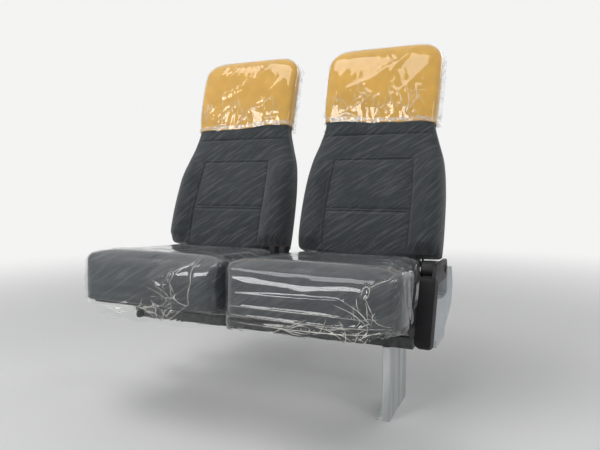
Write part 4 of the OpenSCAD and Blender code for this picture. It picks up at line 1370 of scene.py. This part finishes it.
def loosen(piece, side, low):
    """Gathers the hanging edge towards the armrest's corner, and gives the film its first waves."""
    shift = random_place(random.Random(5 if side == "aisle" else 11))
    points = points_of(piece)
    u = (points[:, 0] - PIVOT["recline_" + side].x) * SIDES[side]
    below = np.maximum(low.z + 0.004 - points[:, 2], 0)
    up, forth = (np.array([noise(Vector((x * pace, y, 0)) + shift) for x in points[:, 0]])
                 for pace, y in ((14, 0), (22, 5)))
    points[:, 2] += below * (1.35 * ease((u - 0.09) / 0.11) + 0.30 * up + 0.12)
    points[:, 1] += below * 0.35 * forth
    move_points(piece, points)
    points, out = points_of(piece), normals_of(piece)
    for i, (x, y, z) in enumerate(points):
        front = 1 - min(max((y - low.y) / 0.06, 0), 1)
        fine = 0.5 - abs(noise(Vector((x * 9, y * 14, z * 34)) + shift))
        points[i] += out[i] * (0.0030 * fine * (0.4 + 0.6 * front))
    move_points(piece, points)


def cushion_film(side):
    middle, hand = PIVOT["recline_" + side].x, SIDES[side]
    piece = remeshed("cushion_" + side, "cushion_wrap_" + side, 0.0025)
    low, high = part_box("cushion_" + side)
    hung_edge(piece, low, high)
    loosen(piece, side, low)
    pins = [1.0 if v.co.y > high.y - 0.012 else 0.0 for v in piece.data.vertices]
    settle(piece, pins, 12, 0.010, gravity=0.5, colliders=[cushions[side]], distance=0.0015, **LOOSE_FILM)
    keep_modifiers(subdivided(piece))

    def swapped(u):
        """The window seat's creases run the other way, a little to the side."""
        return u if side == "aisle" else 0.03 - u

    x, y, z = points_of(piece).T
    u = (x - middle) * hand
    front = 1 - ease((y - low.y - 0.035) / 0.03)
    rise = raised_along(FRONT_CREASES, np.stack([swapped(u), z], axis=-1)) * front
    rise += raised_along(TOP_CREASES[side], np.stack([u, y], axis=-1)) * (1 - front) * (z > high.z - 0.05)
    move_points(piece, points_of(piece) + normals_of(piece) * rise[:, None])
    piece.data.shade_smooth()
    # Pleats on the sharpest creases, painted white as their highlights.
    folds = pleats("cushion_pleats_" + side, piece, FRONT_CREASES[1:],
                   lambda x, z: (middle + hand * swapped(x), low.y, z), Vector((0, 1, 0)))
    finished(folds, "pleated_film", "base")
    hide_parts("cushion_film_" + side, "film_skirt_" + side)
    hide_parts("cushion_film_" + side, "film_skirt_" + side)
    return finished(piece, "clear_film", "base")


cushion_films = [cushion_film(side) for side in SIDES]
print("films:", [round(area_of(film), 3) for film in cushion_films], "m2")

# %% [markdown]
# ## Armrest
# The armrest pad is foam with its own leathery skin, so its edges are generous. A black moulding
# sits round the stud that the armrest turns on: a round end, and a larger one in front of it.

# %% Armrest pad and sleeve
pad = rounded_copy("armrest_pad", "armrest_foam", 0.0045, 5, 24)
finished(pad, "armrest_skin", "armrest")

HUB, HUB_RADIUS = (0.045, 0.405), 0.0195
NOSE, NOSE_RADIUS = (-0.030, 0.4065), 0.0290
SLEEVE_INNER, SLEEVE_OUTER, SLEEVE_EDGE, SLEEVE_SIDES = 0.0865, 0.1275, 0.005, 48


def hub_sleeve():
    """The black moulding round the armrest's stud, drawn out to the front, just inside the lever."""
    corner = np.linspace(0, math.pi / 2, 6)
    edge = [(SLEEVE_EDGE * (1 - math.cos(a)), SLEEVE_EDGE * (1 - math.sin(a))) for a in corner]
    rings = [(SLEEVE_INNER + depth, inset) for depth, inset in edge]
    rings += [(SLEEVE_OUTER - depth, inset) for depth, inset in reversed(edge)]
    grid = []
    for x, inset in rings:
        line = []
        for a in np.linspace(0, math.tau, SLEEVE_SIDES, endpoint=False):
            (y, z), radius = (HUB, HUB_RADIUS) if math.cos(a) > 0 else (NOSE, NOSE_RADIUS)
            line.append((x, y + (radius - inset) * math.cos(a), z + (radius - inset) * math.sin(a)))
        grid.append(line)
    grid = np.array(grid)
    piece = grid_piece("hub_sleeve", grid, grid[..., 1:], wrap=True)
    last = (len(rings) - 1) * SLEEVE_SIDES
    close_rings(piece, list(range(SLEEVE_SIDES)), [last + k for k in range(SLEEVE_SIDES)])
    return finished(piece, "plastic_black", "base")


print("made", hub_sleeve().name, round(SLEEVE_OUTER - SLEEVE_INNER, 3), "m wide")

# %% [markdown]
# ## Lap belts
# The webbing is a flat strap with rounded edges, bowed a little, and held by a bolt. It doesn't
# move, so it is a closed ring of points that is carried up, and nothing is simulated.

# %% Belt straps and their bolts
STRAP_SIDES, STRAP_ROWS, STRAP_THICK, STUD_RADIUS = 24, 30, 0.002, 0.008


def belt_strap(side):
    """The strap, and the bolt that holds it."""
    low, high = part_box("lap_belt_" + side)
    inner, outer = (low.x, high.x) if side == "aisle" else (high.x, low.x)
    middle, half, face = (low.y + high.y) / 2, (high.y - low.y) / 2, outer - STRAP_THICK / 2 * SIDES[side]
    angles, ring = np.linspace(0, math.tau, STRAP_SIDES, endpoint=False), range(STRAP_SIDES)
    rows = []
    for z in np.linspace(low.z, high.z, STRAP_ROWS):
        bow = 0.0006 * math.sin((z - low.z) * 60) * SIDES[side]
        rows.append([(face + STRAP_THICK / 2 * math.copysign(abs(math.sin(a))**0.6, math.sin(a)) + bow,
                      middle + half * math.copysign(abs(math.cos(a))**0.35, math.cos(a)), z) for a in angles])
    grid = np.array(rows)
    piece = grid_piece("belt_strap_" + side, grid, grid[..., 1:], wrap=True)
    close_rings(piece, list(ring), [(STRAP_ROWS - 1) * STRAP_SIDES + k for k in ring])
    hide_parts("lap_belt_" + side)
    bolt = [(x, middle + STUD_RADIUS * math.cos(a), low.z + 0.009 + STUD_RADIUS * math.sin(a))
            for x in (inner, face) for a in angles]
    following = [(k + 1) % STRAP_SIDES for k in ring]
    stud = new_piece("belt_stud_" + side, bolt,
                     [(k, n, STRAP_SIDES + n, STRAP_SIDES + k) for k, n in zip(ring, following)])
    close_rings(stud, list(ring), [STRAP_SIDES + k for k in ring])
    finished(stud, "steel_black", "base")
    return finished(piece, "webbing", "base")


print("belt straps:", [belt_strap(side).name for side in SIDES])

# %% [markdown]
# ## Stage
# The floor is plain and pale, the light is soft, and the camera stands where the photograph's camera
# stood, turned so that the whole seat is in the frame.

# %% Floor, light and camera
BACKDROP = (0.90, 0.90, 0.895, 1)


def shown_instead(tree, usual, shown, share, end):
    """Shows one shader instead of another for a share of the rays, and wires the mix to the end."""
    mixer = put(tree, "MixShader", Fac=share)
    tree.links.new(usual.outputs[0], mixer.inputs[1])
    tree.links.new(shown.outputs[0], mixer.inputs[2])
    tree.links.new(mixer.outputs[0], tree.nodes[end].inputs["Surface"])


def stage_floor():
    """A floor that fades into the backdrop's colour away from the seat, so that no edge shows."""
    corners = [(-40, -40, 0), (40, -40, 0), (40, 40, 0), (-40, 40, 0)]
    floor = new_piece("floor", corners, [(0, 1, 2, 3)], smooth=False)
    material, tree, _, where = new_finish("pale_floor", (0.80, 0.80, 0.79), 0.85)
    far = put(tree, "VectorMath", {"operation": "LENGTH"}, Vector=where).outputs["Value"]
    rays = tree.nodes.new("ShaderNodeLightPath").outputs
    seen = sums(tree, "ADD", rays["Is Camera Ray"], rays["Is Transmission Ray"], clamp=True)
    fade = times(tree, remap(tree, far, 1.3, 4.2, smooth=True), seen)
    glow = put(tree, "Emission", Color=BACKDROP)
    shown_instead(tree, tree.nodes["Principled BSDF"], glow, fade, "Material Output")
    floor.data.materials.append(material)


def softbox(name, place, size, power):
    """A lamp with a soft face of size (width, height) in metres, turned to the seat."""
    light = bpy.data.lights.new(name, "AREA")
    light.shape, light.size, light.size_y = "RECTANGLE", *size
    light.energy = power
    lamp = bpy.data.objects.new(name, light)
    lamp.location = place
    lamp.rotation_euler = (SEAT_MIDDLE - Vector(place)).to_track_quat("-Z", "Y").to_euler()
    scene.collection.objects.link(lamp)


def studio_world():
    """A faint even light. Camera, glass and glossy surfaces see the pale backdrop instead."""
    world = bpy.data.worlds.new("studio")
    scene.world = world
    world.use_nodes = True
    tree = world.node_tree
    lit = tree.nodes["Background"]
    wire(tree, lit.inputs, Color=(0.92, 0.94, 0.97, 1), Strength=0.28)
    rays = tree.nodes.new("ShaderNodeLightPath").outputs
    seen = sums(tree, "ADD", rays["Is Camera Ray"], rays["Is Transmission Ray"])
    seen = sums(tree, "ADD", seen, rays["Is Glossy Ray"], clamp=True)
    shown_instead(tree, lit, put(tree, "Background", Color=BACKDROP, Strength=1.0), seen, "World Output")


SEAT_MIDDLE = Vector((-0.33, 0.0, 0.5))
stage_floor()
softbox("key", (-1.7, -2.9, 2.0), (1.5, 0.95), 46)
softbox("overhead", (-0.9, -1.0, 3.1), (2.2, 0.9), 26)
softbox("fill", (2.3, -1.4, 1.4), (0.8, 1.6), 13)
softbox("rim", (1.4, 2.6, 2.2), (1.6, 1.0), 22)
studio_world()

camera = bpy.data.objects.new("camera", bpy.data.cameras.new("camera"))
camera.location = (0.3655, -1.47, 0.64)
camera.rotation_euler = (math.radians(90 - 4.4), 0, math.radians(24.0))
camera.data.lens, camera.data.sensor_width = 32, 36
scene.collection.objects.link(camera)
scene.camera = camera
scene.view_settings.view_transform = "Standard"
